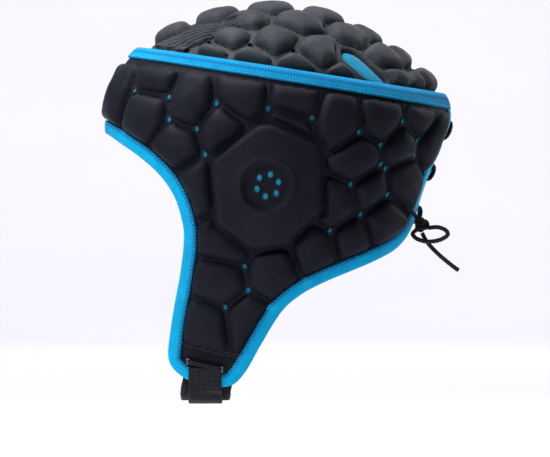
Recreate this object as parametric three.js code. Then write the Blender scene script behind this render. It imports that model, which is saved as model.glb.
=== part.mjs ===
import * as THREE from 'three';

// Padded rugby scrum cap, millimetres, +Z up, the face looks toward -X.
// The origin is where the inside of the crown sits on the top of the head.

// Head that the cap fits
const headFront = 100.5;
const headBack = 101;
const headHalfWidth = 77;
const crownHeight = 65;
const wallDepth = 175;
const backFlatness = 9;

// Layers, from the head outwards
const layerGap = 0.4;
const liningThickness = 1;
const crownCloth = 2.7;
const flangeCloth = 1.5;
const sideCloth = 2.6;
const edgeCloth = 2.3;
const tapeThickness = 1;
const padTop = 11.2;
const padTopAtBand = 12.6;

// Blue tapes
const tapeWidth = 8.5;
const bandHeight = -35.6;
const bandSlope = -0.155;
const bandOffset = 9;
const flangeReach = 8;
const riseStart = 9;
const riseLength = 18;
const tapeClear = 1.5;
const seamGap = 0.3;

// Pads
const channelWidth = 4;
const padMargin = 10.5;
const padShoulder = 4.5;
const shoulderShare = 0.82;
const ventRadius = 1.4;
const ventRim = 0.3;
const crownRowPitch = 26;
const crownColumnPitch = 32;
const crownPadMargin = 1.8;
const creaseMargin = 1.2;
const smallestPad = 70;

// Chin strap and its pad
const strapWidth = 21;
const strapThickness = 1.6;
const strapOffset = 7.2;
const strapBottom = -242;
const chinPadWidth = 31;
const chinPadThickness = 3;
const chinPadOffset = -4.3;

// Lace
const laceDiameter = 2.8;
const loopLength = 10;
const loopBulge = 3.6;
const loopSeat = 0.8;
const laceSlack = 1.8;
const knotRadius = 5;

const equator = -crownHeight;
const radian = Math.PI / 180;

// Sections of the head below its widest level: depth as a share of the wall,
// width and back as shares of the head's own
const wallSections = [
  { down: 0, width: 1, back: 1 },
  { down: 0.09, width: 0.995, back: 0.975 },
  { down: 0.155, width: 0.99, back: 0.93 },
  { down: 0.235, width: 0.98, back: 0.89 },
  { down: 0.32, width: 0.955, back: 0.857 },
  { down: 0.41, width: 0.92, back: 0.832 },
  { down: 0.55, width: 0.865, back: 0.82 },
  { down: 0.72, width: 0.78, back: 0.81 },
  { down: 0.9, width: 0.66, back: 0.8 },
  { down: 1.05, width: 0.56, back: 0.8 },
];

// Lower edge of a side panel from the brow round the cheek flap to the nape:
// turn in degrees from the brow, depth below the widest level as a share
const hemPoints = [
  { turn: 0, down: 0.04 },
  { turn: 12, down: 0.048 },
  { turn: 23, down: 0.073 },
  { turn: 36, down: 0.12 },
  { turn: 46.5, down: 0.184 },
  { turn: 53.5, down: 0.262 },
  { turn: 57, down: 0.357 },
  { turn: 57.5, down: 0.43 },
  { turn: 56, down: 0.54 },
  { turn: 53.5, down: 0.65 },
  { turn: 51.5, down: 0.75 },
  { turn: 50.5, down: 0.835 },
  { turn: 53.5, down: 0.882 },
  { turn: 59, down: 0.912 },
  { turn: 68, down: 0.932 },
  { turn: 74.5, down: 0.924 },
  { turn: 79, down: 0.878 },
  { turn: 84.5, down: 0.78 },
  { turn: 91, down: 0.676 },
  { turn: 99, down: 0.612 },
  { turn: 109, down: 0.566 },
  { turn: 121, down: 0.527 },
  { turn: 134, down: 0.49 },
  { turn: 146, down: 0.452 },
  { turn: 155, down: 0.405 },
  { turn: 160, down: 0.35 },
  { turn: 163, down: 0.26 },
  { turn: 166.5, down: 0.17 },
  { turn: 170.5, down: 0.08 },
  { turn: 173.5, down: 0 },
  { turn: 174.5, down: -0.05 },
];

// Pads of a side panel
const sidePads = [
  { turn: 13, down: -0.095 },
  { turn: 35, down: -0.165 },
  { turn: 36, down: -0.03 },
  { turn: 55.5, down: -0.071 },
  { turn: 77, down: -0.09 },
  { turn: 50, down: 0.072 },
  { turn: 69, down: 0.034 },
  { turn: 94, down: -0.075 },
  { turn: 111, down: -0.02 },
  { turn: 129, down: -0.01 },
  { turn: 146, down: 0.0 },
  { turn: 161, down: 0.03 },
  { turn: 139, down: 0.098 },
  { turn: 121.5, down: 0.14 },
  { turn: 151, down: 0.2 },
  { turn: 132, down: 0.258 },
  { turn: 115.5, down: 0.315 },
  { turn: 142, down: 0.345 },
  { turn: 123, down: 0.415 },
  { turn: 104, down: 0.455 },
  { turn: 88.5, down: 0.565 },
  { turn: 69, down: 0.6 },
  { turn: 62, down: 0.745 },
  { turn: 76, down: 0.745 },
  { turn: 72, down: 0.452 },
  { turn: 61, down: 0.26 },
];

// Outline of the large ear pad
const earOutline = [
  { turn: 68.5, down: 0.14 },
  { turn: 84, down: 0.012 },
  { turn: 88, down: 0.01 },
  { turn: 105, down: 0.092 },
  { turn: 107, down: 0.31 },
  { turn: 94, down: 0.43 },
  { turn: 82, down: 0.448 },
  { turn: 70.5, down: 0.36 },
];

// Seam that ends the padding above the plain tab at the foot of the flap
const tabSeam = [
  { turn: 56.5, down: 0.778 },
  { turn: 77.5, down: 0.822 },
];

// Slot line where the chin strap is sewn to the tab
const strapSeat = { turn: 65, down: 0.868 };

// Lens-shaped vent in each rear side of the crown: turn from the brow and
// lean from the apex in degrees
const crownVent = [
  { turn: 128, lean: 47 },
  { turn: 134, lean: 47.5 },
  { turn: 143.5, lean: 56 },
  { turn: 150.5, lean: 68 },
  { turn: 147, lean: 68.5 },
  { turn: 138, lean: 60.5 },
  { turn: 130, lean: 52 },
];

// Vent where the end of the lace comes out
const laceVent = { turn: 149.5, down: 0.295 };

// Heights of the lace loops on the back edge, as depth shares
const loopRows = [{ down: 0.03 }, { down: 0.175 }, { down: 0.33 }];

// Routes of the lace's knot end, chosen by hand, in millimetres
const knotPlace = new THREE.Vector3(91, -34, -130);
const bowRoute = [
  [95, -37, -132], [101, -40, -131.5], [106, -41.5, -133.5], [107, -42, -136.5],
  [102, -42.5, -139.5], [95, -43, -140.5], [88.5, -42.5, -139], [85.3, -41, -135.8],
  [88.2, -37.6, -132.9],
];
const endRoute = [
  [91.4, -35.3, -135.3], [94.5, -37.2, -141], [101, -39, -148], [108, -40, -154], [114, -40.5, -158.5],
];

const colours = {
  padding: 0x1c1d26,
  tape: 0x00a3e0,
  lining: 0x0072a6,
  webbing: 0x26272d,
  lace: 0x25252a,
};

// Smooth value between the rows of a table, level at both ends
function between(rows, column, at) {
  const last = rows.length - 1;
  if (at <= rows[0].down) return rows[0][column];
  if (at >= rows[last].down) return rows[last][column];
  let i = 0;
  while (rows[i + 1].down < at) i += 1;
  const slope = (k) => {
    if (k === 0 || k === last) return 0;
    return (rows[k + 1][column] - rows[k - 1][column]) / (rows[k + 1].down - rows[k - 1].down);
  };
  const span = rows[i + 1].down - rows[i].down;
  const t = (at - rows[i].down) / span;
  const rise = t * t * (3 - 2 * t);
  const start = t * (1 - t) * (1 - t) * span * slope(i);
  const end = t * t * (t - 1) * span * slope(i + 1);
  return rows[i][column] * (1 - rise) + rows[i + 1][column] * rise + start + end;
}

function smoothStep(from, to, at) {
  const t = Math.min(1, Math.max(0, (at - from) / (to - from)));
  return t * t * (3 - 2 * t);
}

// Point of the head form: turn in radians from the brow, left side at -Y.
// Lean is the angle from the apex, drop the depth below the widest level.
function headPoint(turn, lean, drop) {
  const share = drop / wallDepth;
  const back = between(wallSections, 'back', share) * headBack;
  const width = between(wallSections, 'width', share) * headHalfWidth;
  const length = Math.cos(turn) > 0 ? headFront : back;
  const behind = Math.max(0, -Math.cos(turn)) ** 1.5;
  const flat = 1 - (backFlatness / headBack) * Math.sin(2 * lean) ** 2 * behind;
  const reach = Math.sin(lean) * flat;
  return new THREE.Vector3(
    -length * Math.cos(turn) * reach,
    -width * Math.sin(turn) * reach,
    equator + crownHeight * Math.cos(lean) * flat - drop,
  );
}

function wallPoint(turn, height) {
  if (height <= equator) return headPoint(turn, Math.PI / 2, equator - height);
  return headPoint(turn, Math.acos(Math.min(1, (height - equator) / crownHeight)), 0);
}

// Turn against arc length along the widest section
const arcSteps = 360;
const arcs = [0];
for (let i = 1; i <= arcSteps; i += 1) {
  const before = wallPoint((Math.PI * (i - 1)) / arcSteps, equator);
  const here = wallPoint((Math.PI * i) / arcSteps, equator);
  arcs.push(arcs[i - 1] + here.distanceTo(before));
}

function arcOfTurn(turn) {
  const at = (turn / Math.PI) * arcSteps;
  const i = Math.min(arcSteps - 1, Math.max(0, Math.floor(at)));
  return arcs[i] + (arcs[i + 1] - arcs[i]) * (at - i);
}

function turnOfArc(arc) {
  let low = 0;
  let high = arcSteps - 1;
  while (low < high) {
    const middle = Math.floor((low + high + 1) / 2);
    if (arcs[middle] <= arc) low = middle;
    else high = middle - 1;
  }
  return ((low + (arc - arcs[low]) / (arcs[low + 1] - arcs[low])) / arcSteps) * Math.PI;
}

// Side chart: x is the arc length from the brow, y the height.
const wallChart = (p) => wallPoint(turnOfArc(p.x), p.y);
const fromTable = (row) => new THREE.Vector2(arcOfTurn(row.turn * radian), equator - row.down * wallDepth);

// Crown chart: seen from above, distances run out from the apex.
const crownLengthwise = (headFront + crownHeight) / 2;
const crownCrosswise = (headHalfWidth + crownHeight) / 2;
function crownChart(p) {
  const along = p.x / crownLengthwise;
  const across = p.y / crownCrosswise;
  const lean = Math.hypot(along, across);
  return headPoint(Math.atan2(-across, -along), lean, 0);
}
const fromLean = (turn, lean) => new THREE.Vector2(
  -Math.cos(turn) * lean * crownLengthwise,
  -Math.sin(turn) * lean * crownCrosswise,
);

// Point that stands off the head form by a distance
function standOff(chart, p, distance) {
  const step = 0.01;
  const here = chart(p);
  const along = chart(new THREE.Vector2(p.x + step, p.y)).sub(chart(new THREE.Vector2(p.x - step, p.y)));
  const up = chart(new THREE.Vector2(p.x, p.y + step)).sub(chart(new THREE.Vector2(p.x, p.y - step)));
  const normal = along.cross(up).normalize();
  return here.addScaledVector(normal, distance);
}

// Chart point a real distance away in a chart direction
function walk(chart, p, direction, distance) {
  const step = 0.5;
  const next = p.clone().addScaledVector(direction, step);
  const real = chart(next).distanceTo(chart(p)) / step;
  return p.clone().addScaledVector(direction, distance / real);
}

// Chart height of the band's middle at a turn, where its outer face meets the band's tilted plane
function bandCentre(arc) {
  let low = equator;
  let high = equator + crownHeight * 0.9;
  for (let i = 0; i < 30; i += 1) {
    const middle = (low + high) / 2;
    const at = standOff(wallChart, new THREE.Vector2(arc, middle), bandOffset);
    if (at.z < bandHeight + bandSlope * at.x) low = middle;
    else high = middle;
  }
  return new THREE.Vector2(arc, low);
}

const upward = new THREE.Vector2(0, 1);
const foldDepth = tapeThickness + layerGap;
const topEdgeAt = (arc) => walk(wallChart, bandCentre(arc), upward, tapeWidth / 2 - foldDepth);
const belowTop = (arc, depth) => walk(wallChart, topEdgeAt(arc), upward, -depth);

// Depth of a chart point below the side panel's top edge
function depthOf(p) {
  const top = topEdgeAt(p.x);
  return (top.y - p.y) * (walkRate(p.x));
}

function walkRate(arc) {
  const top = topEdgeAt(arc);
  return wallChart(top).distanceTo(wallChart(new THREE.Vector2(arc, top.y - 1)));
}

// Offsets of the layers
const crownInner = liningThickness + layerGap;
const crownOuter = crownInner + crownCloth;
const flangeOuter = crownInner + flangeCloth;
const lowInner = tapeThickness + 2 * layerGap + liningThickness;
const highInner = flangeOuter + tapeThickness + liningThickness + 3 * layerGap;
const lift = (p) => 1 - smoothStep(riseStart, riseStart + riseLength, depthOf(p));
const sideInner = (p) => lowInner + (highInner - lowInner) * lift(p);
const sideOuter = (p) => sideInner(p) + sideCloth + (edgeCloth - sideCloth) * lift(p);
const lowestLayer = (p) => sideInner(p) - layerGap - liningThickness;
const sidePadTop = (p) => padTop + (padTopAtBand - padTop) * lift(p);

// Signed area of a chart polygon, positive when it runs anticlockwise
const area = (polygon) => THREE.ShapeUtils.area(polygon);
const centreOf = (polygon) => polygon
  .reduce((sum, p) => sum.add(p), new THREE.Vector2())
  .divideScalar(polygon.length);

// Part of a polygon on the left of a directed line
function clip(polygon, point, direction) {
  const side = (p) => direction.x * (p.y - point.y) - direction.y * (p.x - point.x);
  const kept = [];
  polygon.forEach((p, i) => {
    const q = polygon[(i + 1) % polygon.length];
    const a = side(p);
    const b = side(q);
    if (a >= 0) kept.push(p);
    if ((a > 0 && b < 0) || (a < 0 && b > 0)) kept.push(p.clone().lerp(q, a / (a - b)));
  });
  return kept;
}

// Fewer corners, the flattest ones dropped first
function simplify(polygon, corners, leastLength) {
  const points = polygon.filter((p, i) => p.distanceTo(polygon[(i + 1) % polygon.length]) > leastLength);
  while (points.length > corners) {
    let least = 0;
    let leastArea = Infinity;
    points.forEach((p, i) => {
      const before = points[(i + points.length - 1) % points.length];
      const after = points[(i + 1) % points.length];
      const corner = Math.abs(area([before, p, after]));
      if (corner < leastArea) {
        leastArea = corner;
        least = i;
      }
    });
    points.splice(least, 1);
  }
  return points;
}

// Each edge of a polygon moved inward by a distance
function inset(polygon, distance) {
  return polygon.map((p, i) => {
    const before = polygon[(i + polygon.length - 1) % polygon.length];
    const after = polygon[(i + 1) % polygon.length];
    const direction = after.clone().sub(before).normalize();
    return p.clone().add(new THREE.Vector2(-direction.y, direction.x).multiplyScalar(distance));
  });
}

// Corners drawn in by small uneven shares, so that corners of neighbouring pads share no line
function drawIn(cell) {
  const centre = centreOf(cell);
  return cell.map((p, i) => p.clone().lerp(centre, 0.004 + 0.006 * Math.sin(p.x + 2 * p.y + i) ** 2));
}

// Pads as the cells round their seeds, a channel apart, round one island that has a shape of its own
function cellsAround(seeds, field, island) {
  const cells = [];
  seeds.forEach((seed) => {
    let cell = field;
    seeds.forEach((other) => {
      if (other === seed) return;
      const away = other.clone().sub(seed).normalize();
      const middle = seed.clone().add(other).multiplyScalar(0.5).addScaledVector(away, -channelWidth / 2);
      cell = clip(cell, middle, new THREE.Vector2(-away.y, away.x));
    });
    const edge = facingEdge(island, seed);
    if (edge) {
      const start = edge.start.clone().addScaledVector(edge.outward, channelWidth);
      cell = clip(cell, start, edge.direction.clone().negate());
    }
    if (cell.length > 2 && area(cell) > smallestPad) cells.push(drawIn(simplify(cell, 7, 2)));
  });
  return cells;
}

// Edge of an anticlockwise island that faces a point the most
function facingEdge(island, point) {
  let best = null;
  island.forEach((start, i) => {
    const end = island[(i + 1) % island.length];
    const direction = end.clone().sub(start).normalize();
    const outward = new THREE.Vector2(direction.y, -direction.x);
    const distance = point.clone().sub(start).dot(outward);
    if (!best || distance > best.distance) best = { start, direction, outward, distance };
  });
  return best;
}

function distanceToLoop(p, loop) {
  return Math.min(...loop.map((a, i) => {
    const b = loop[(i + 1) % loop.length];
    const edge = b.clone().sub(a);
    const t = Math.min(1, Math.max(0, p.clone().sub(a).dot(edge) / edge.lengthSq()));
    return a.clone().addScaledVector(edge, t).distanceTo(p);
  }));
}

function inside(p, loop) {
  let within = false;
  loop.forEach((a, i) => {
    const b = loop[(i + 1) % loop.length];
    const crosses = (a.y > p.y) !== (b.y > p.y);
    if (crosses && p.x < ((b.x - a.x) * (p.y - a.y)) / (b.y - a.y) + a.x) within = !within;
  });
  return within;
}

// Places of the vents: every junction of channels, or the lowest one of each pad by a measure
function ventsAtJunctions(seeds, cells, island, lowest) {
  const junctions = [];
  for (let i = 0; i < seeds.length; i += 1) {
    for (let j = i + 1; j < seeds.length; j += 1) {
      for (let k = j + 1; k < seeds.length; k += 1) {
        const centre = new THREE.Vector2();
        const [a, b, c] = [seeds[i], seeds[j], seeds[k]];
        const d = 2 * (a.x * (b.y - c.y) + b.x * (c.y - a.y) + c.x * (a.y - b.y));
        if (Math.abs(d) < 1) continue;
        centre.x = (a.lengthSq() * (b.y - c.y) + b.lengthSq() * (c.y - a.y) + c.lengthSq() * (a.y - b.y)) / d;
        centre.y = (a.lengthSq() * (c.x - b.x) + b.lengthSq() * (a.x - c.x) + c.lengthSq() * (b.x - a.x)) / d;
        const radius = centre.distanceTo(a);
        if (seeds.every((s) => s.distanceTo(centre) > radius - 0.01)) junctions.push({ centre, of: [i, j, k] });
      }
    }
  }
  const chosen = new Set(lowest ? [] : junctions);
  if (lowest) {
    seeds.forEach((seed, i) => {
      const own = junctions.filter((junction) => junction.of.includes(i));
      own.sort((a, b) => lowest(a.centre) - lowest(b.centre));
      if (own.length) chosen.add(own[0]);
    });
  }
  const clear = (p) => cells.every((cell) => !inside(p, cell) && distanceToLoop(p, cell) > ventRadius + ventRim)
    && !inside(p, island) && distanceToLoop(p, island) > ventRadius + ventRim;
  const centres = [...chosen].map((junction) => junction.centre).filter(clear);
  return centres.filter((p, i) => centres.slice(0, i).every((q) => q.distanceTo(p) > 3 * ventRadius));
}

function ventLoop(centre) {
  const corners = 4;
  return Array.from({ length: corners }, (unused, i) => {
    const angle = (-2 * Math.PI * i) / corners;
    return centre.clone().add(new THREE.Vector2(Math.cos(angle), Math.sin(angle)).multiplyScalar(ventRadius));
  });
}

// Cloth between an outline and its holes in triangles as compact as can be, found by turning shared edges
function compactTriangles(field, holes) {
  const points = [field, ...holes].flat();
  const triangles = THREE.ShapeUtils.triangulateShape(field, holes).map((triangle) => (
    area(triangle.map((i) => points[i])) < 0 ? triangle.slice().reverse() : triangle.slice()));
  const angleAt = (apex, a, b) => {
    const [u, v] = [points[a].clone().sub(points[apex]), points[b].clone().sub(points[apex])];
    return Math.acos(Math.min(1, Math.max(-1, u.dot(v) / (u.length() * v.length()))));
  };
  const longestPass = 40;
  for (let pass = 0; pass < longestPass; pass += 1) {
    const owner = new Map();
    let turned = 0;
    triangles.forEach((triangle, t) => triangle.forEach((a, k) => {
      const b = triangle[(k + 1) % 3];
      owner.set(`${a} ${b}`, { t, apex: triangle[(k + 2) % 3] });
    }));
    const busy = new Set();
    owner.forEach((left, key) => {
      const [a, b] = key.split(' ').map(Number);
      const right = owner.get(`${b} ${a}`);
      if (!right || a > b || busy.has(left.t) || busy.has(right.t)) return;
      const sum = angleAt(left.apex, a, b) + angleAt(right.apex, a, b);
      const quad = [[left.apex, a, right.apex], [right.apex, b, left.apex]];
      if (sum <= Math.PI + 1e-6 || quad.some((q) => area(q.map((i) => points[i])) <= 0)) return;
      [triangles[left.t], triangles[right.t]] = quad;
      busy.add(left.t).add(right.t);
      turned += 1;
    });
    if (turned === 0) break;
  }
  return triangles.map((triangle) => triangle.map((i) => points[i]));
}

// Triangles gathered into one closed mesh
class Facets {
  constructor(mirrored) {
    this.mirrored = mirrored;
    this.values = [];
  }

  add(a, b, c) {
    const corners = this.mirrored ? [a, c, b] : [a, b, c];
    corners.forEach((p) => this.values.push(p.x, this.mirrored ? -p.y : p.y, p.z));
  }

  quad(a, b, c, d) {
    this.add(a, b, c);
    this.add(a, c, d);
  }

  geometry() {
    const geometry = new THREE.BufferGeometry();
    geometry.setAttribute('position', new THREE.Float32BufferAttribute(this.values, 3));
    geometry.computeVertexNormals();
    return geometry;
  }
}

// Closed panel with its outline, cut-outs and pads
function panel({ chart, outline, crease, cuts, cells, inner, outer, top, mirrored }) {
  const facets = new Facets(mirrored);
  const low = (p) => standOff(chart, p, inner(p));
  const high = (p) => standOff(chart, p, outer(p));
  const field = crease || outline;
  compactTriangles(field, [...cells, ...cuts]).forEach((corners) => {
    facets.add(...corners.map(high));
    facets.add(...corners.map(low).reverse());
  });
  if (crease) {
    outline.forEach((p, i) => {
      const j = (i + 1) % outline.length;
      facets.quad(high(p), high(outline[j]), high(crease[j]), high(crease[i]));
      facets.quad(low(crease[i]), low(crease[j]), low(outline[j]), low(p));
    });
  }
  [outline, ...cuts].forEach((loop) => {
    loop.forEach((p, i) => {
      const q = loop[(i + 1) % loop.length];
      facets.quad(low(p), low(q), high(q), high(p));
    });
  });
  cells.forEach((cell) => {
    const centre = centreOf(cell);
    const raised = (p, share) => standOff(chart, p, outer(p) + (top(p) - outer(p)) * share);
    cell.forEach((p, i) => {
      const q = cell[(i + 1) % cell.length];
      facets.add(low(centre), low(q), low(p));
      if (!top) {
        facets.add(high(centre), high(p), high(q));
        return;
      }
      const [p2, q2] = [p, q].map((corner) => {
        const inward = centre.clone().sub(corner);
        return corner.clone().addScaledVector(inward, Math.min(0.6, padShoulder / inward.length()));
      });
      facets.quad(high(p), high(q), raised(q2, shoulderShare), raised(p2, shoulderShare));
      facets.add(raised(p2, shoulderShare), raised(q2, shoulderShare), raised(centre, 1));
    });
  });
  return facets.geometry();
}

// Tape folded over an edge: stations run along the edge with the panel on the left
function foldedTape({ stations, closed, inner, outer }) {
  const facets = new Facets(false);
  const last = stations.length;
  const sections = stations.map((station) => {
    const { edge, inward, flipped } = station;
    const deep = walk(wallChart, edge, inward, tapeWidth - foldDepth);
    const fold = walk(wallChart, edge, inward.clone().negate(), layerGap);
    const rim = walk(wallChart, edge, inward.clone().negate(), foldDepth);
    const [a, b] = [outer(edge) + layerGap, outer(edge) + layerGap + tapeThickness];
    const [c, d] = [inner(edge) - layerGap, inner(edge) - layerGap - tapeThickness];
    const corners = [
      [rim, b], [deep, b], [deep, a], [fold, a], [fold, c], [deep, c], [deep, d], [rim, d],
    ].map(([p, offset]) => standOff(wallChart, p, offset));
    if (flipped) corners.forEach((p) => p.setY(-p.y));
    return corners;
  });
  const sides = sections[0].length;
  for (let i = 0; i < (closed ? last : last - 1); i += 1) {
    const here = sections[i];
    const next = sections[(i + 1) % last];
    for (let k = 0; k < sides; k += 1) {
      const m = (k + 1) % sides;
      facets.quad(here[k], next[k], next[m], here[m]);
    }
  }
  if (!closed) {
    [sections[0], sections[last - 1]].forEach((section, end) => {
      const caps = [[0, 1, 2, 3], [0, 3, 4, 7], [4, 5, 6, 7]];
      caps.forEach(([a, b, c, d]) => {
        const ring = [section[a], section[b], section[c], section[d]];
        if (end === 1) ring.reverse();
        facets.quad(...ring);
      });
    });
  }
  return facets.geometry();
}

// Flat strip with a rectangular section: each station has a centre, a width direction and a face direction
function strip(stations, width, thickness) {
  const facets = new Facets(false);
  const sections = stations.map(({ centre, across, out }) => [[-1, 1], [1, 1], [1, -1], [-1, -1]]
    .map(([w, t]) => centre.clone()
      .addScaledVector(across, (w * width) / 2)
      .addScaledVector(out, (t * thickness) / 2)));
  sections.slice(1).forEach((next, i) => {
    const here = sections[i];
    here.forEach((corner, k) => {
      const m = (k + 1) % here.length;
      facets.quad(next[k], next[m], here[m], corner);
    });
  });
  facets.quad(...sections[0]);
  facets.quad(...sections[sections.length - 1].slice().reverse());
  return facets.geometry();
}

// Round cord along a smooth route
function cord(route, steps, closed) {
  const curve = new THREE.CatmullRomCurve3(route, Boolean(closed), 'centripetal');
  const section = new THREE.Shape();
  const sides = 8;
  for (let i = 0; i < sides; i += 1) {
    const angle = (2 * Math.PI * i) / sides;
    const point = [Math.cos(angle) * laceDiameter / 2, Math.sin(angle) * laceDiameter / 2];
    if (i === 0) section.moveTo(...point);
    else section.lineTo(...point);
  }
  section.closePath();
  return new THREE.ExtrudeGeometry(section, { steps, extrudePath: curve, curveSegments: 1 });
}

// Outline of the left side panel, anticlockwise in its chart
const centreFront = seamGap / 2;
const hemSpacing = 12;
const hemTable = hemPoints.map(fromTable);
hemTable[0].x = centreFront;
const tapeEnd = hemTable[hemTable.length - 1];
tapeEnd.copy(belowTop(tapeEnd.x, tapeWidth - foldDepth + 2 * layerGap));
const hemCurve = new THREE.SplineCurve(hemTable);
const hemCount = Math.round(hemCurve.getLength() / hemSpacing);
const backTop = hemTable[hemTable.length - 1];
const hemLine = hemCurve.getSpacedPoints(hemCount);
const topCount = Math.round((backTop.x - centreFront) / hemSpacing);
const topLine = Array.from({ length: topCount + 1 }, (unused, i) => (
  topEdgeAt(backTop.x + ((centreFront - backTop.x) * i) / topCount)));
const creaseDepth = tapeWidth - foldDepth + tapeClear;
const frontTop = belowTop(centreFront, creaseDepth + layerGap);
const frontCount = Math.round((frontTop.y - hemLine[0].y) / hemSpacing);
const frontLine = Array.from({ length: frontCount }, (unused, i) => frontTop.clone().lerp(hemLine[0], i / frontCount));
const sideOutline = [...hemLine, ...topLine, ...frontLine];

// Direction into the panel at each point of its outline
const downward = new THREE.Vector2(0, -1);
const forward = new THREE.Vector2(-1, 0);
const hemInward = hemLine.map((p, i) => {
  if (i === 0) return upward;
  if (i === hemCount) return forward;
  const direction = hemLine[i + 1].clone().sub(hemLine[i - 1]).normalize();
  return new THREE.Vector2(-direction.y, direction.x);
});
const sideInward = [...hemInward, ...topLine.map(() => downward), ...frontLine.map(() => forward.clone().negate())];
const corner = (a, b) => a.clone().add(b).normalize();
sideInward[0] = corner(upward, forward.clone().negate());
sideInward[hemCount + 1] = corner(downward, forward);
sideInward[hemCount + 1 + topCount] = corner(downward, forward.clone().negate());
const sideCrease = sideOutline.map((p, i) => (
  walk(wallChart, p, sideInward[i], creaseDepth)));

// Field in which the side pads lie
const padField = (() => {
  const [from, to] = tabSeam.map(fromTable);
  const field = inset(sideOutline, padMargin).filter((p) => distanceToLoop(p, sideOutline) > padMargin * 0.9);
  const topRow = topLine.map((p) => belowTop(p.x, padMargin + 1));
  const lowRow = field.slice(0, field.length);
  const trimmed = lowRow.map((p) => {
    const limit = topRow.reduce((best, q) => (Math.abs(q.x - p.x) < Math.abs(best.x - p.x) ? q : best));
    return p.y > limit.y ? new THREE.Vector2(p.x, limit.y) : p;
  });
  return clip(trimmed, from, to.clone().sub(from).normalize());
})();

const sideSeeds = sidePads.map(fromTable);
const earPad = earOutline.map(fromTable);
if (area(earPad) < 0) earPad.reverse();
const sideCells = cellsAround(sideSeeds, padField, earPad);
const sideVents = ventsAtJunctions(sideSeeds, sideCells, earPad)
  .filter((p) => inside(p, padField))
  .map(ventLoop);

function sidePanel(mirrored) {
  return panel({
    chart: wallChart,
    outline: sideOutline,
    crease: sideCrease,
    cuts: sideVents,
    cells: [...sideCells, earPad],
    inner: sideInner,
    outer: sideOuter,
    top: sidePadTop,
    mirrored,
  });
}

function sideLining(mirrored) {
  return panel({
    chart: wallChart,
    outline: sideOutline,
    crease: sideCrease,
    cuts: [],
    cells: [...sideCells, earPad],
    inner: lowestLayer,
    outer: (p) => sideInner(p) - layerGap,
    mirrored,
  });
}

// Crown outline and pads
const crownEdgeAt = (depth) => {
  const leanAt = (p) => Math.acos((belowTop(p.x, depth).y - equator) / crownHeight);
  const point = (p, side) => fromLean(side * turnOfArc(p.x), leanAt(p));
  const half = topLine.slice(0, topCount);
  const [brow, nape] = [topEdgeAt(0), topEdgeAt(arcs[arcSteps])];
  const left = half.map((p) => point(p, 1));
  const right = half.map((p) => point(p, -1)).reverse();
  const loop = [...left, point(brow, 1), ...right, point(nape, 1)];
  return area(loop) < 0 ? loop.reverse() : loop;
};
const crownOutline = crownEdgeAt(flangeReach);
const crownCrease = crownEdgeAt(-foldDepth - creaseMargin);
const crownField = crownEdgeAt(-foldDepth - creaseMargin - crownPadMargin);
const crownVents = [1, -1].map((side) => {
  const loop = crownVent.map(({ turn, lean }) => fromLean(side * turn * radian, lean * radian));
  return area(loop) > 0 ? loop.reverse() : loop;
});

const crownSeeds = (() => {
  const seeds = [];
  const rows = Math.ceil((headHalfWidth * 2) / crownRowPitch);
  const columns = Math.ceil((headFront * 2) / crownColumnPitch);
  for (let row = -rows; row <= rows; row += 1) {
    for (let column = -columns; column <= columns; column += 1) {
      const shift = row % 2 === 0 ? 0 : 0.5;
      seeds.push(new THREE.Vector2((column + shift) * crownColumnPitch, row * crownRowPitch));
    }
  }
  return seeds.filter((p) => inside(p, crownOutline));
})();

const crownCells = (() => {
  const cells = [];
  crownSeeds.forEach((seed) => {
    const vent = crownVents[seed.y < 0 ? 0 : 1];
    const island = vent.slice().reverse();
    cellsAround([seed, ...crownSeeds.filter((s) => s !== seed)], crownField, island)
      .filter((cell) => inside(seed, cell) || centreOf(cell).distanceTo(seed) < crownRowPitch / 2)
      .slice(0, 1)
      .forEach((cell) => cells.push(cell));
  });
  return cells;
})();

const crownJunctions = ventsAtJunctions(crownSeeds, crownCells, crownVents[0].slice().reverse(), (p) => p.x)
  .filter((p) => inside(p, crownField) && crownVents.every((v) => distanceToLoop(p, v) > padShoulder))
  .map(ventLoop);

const creaseSpan = (p) => (inside(p, crownCrease) || distanceToLoop(p, crownCrease) < 0.01
  ? crownOuter + (flangeOuter - crownOuter) * (1 - smoothStep(0, crownPadMargin, distanceToLoop(p, crownCrease)))
  : flangeOuter);

function crownPanel() {
  return panel({
    chart: crownChart,
    outline: crownOutline,
    crease: crownCrease,
    cuts: [...crownVents, ...crownJunctions],
    cells: crownCells,
    inner: () => crownInner,
    outer: creaseSpan,
    top: () => padTop,
    mirrored: false,
  });
}

function crownLining() {
  return panel({
    chart: crownChart,
    outline: crownOutline,
    crease: crownCrease,
    cuts: [],
    cells: crownCells,
    inner: () => 0,
    outer: () => liningThickness,
    mirrored: false,
  });
}

// Tapes: the band round the crown and the tape along the whole lower edge
function edgeBinding() {
  const left = hemLine.map((edge, i) => ({ edge, inward: hemInward[i], flipped: false }));
  const right = hemLine.map((edge, i) => ({ edge, inward: hemInward[i], flipped: true })).slice(1).reverse();
  return foldedTape({ stations: [...right, ...left], closed: false, inner: lowestLayer, outer: sideOuter });
}

function topBinding() {
  const side = topLine.slice(0, topCount);
  const left = side.map((edge) => ({ edge, inward: downward, flipped: false }));
  const right = side.map((edge) => ({ edge, inward: downward, flipped: true })).reverse();
  const brow = { edge: topEdgeAt(0), inward: downward, flipped: false };
  const nape = { edge: topEdgeAt(arcs[arcSteps]), inward: downward, flipped: false };
  return foldedTape({ stations: [...left, brow, ...right, nape], closed: true, inner: lowestLayer, outer: sideOuter });
}

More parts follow.
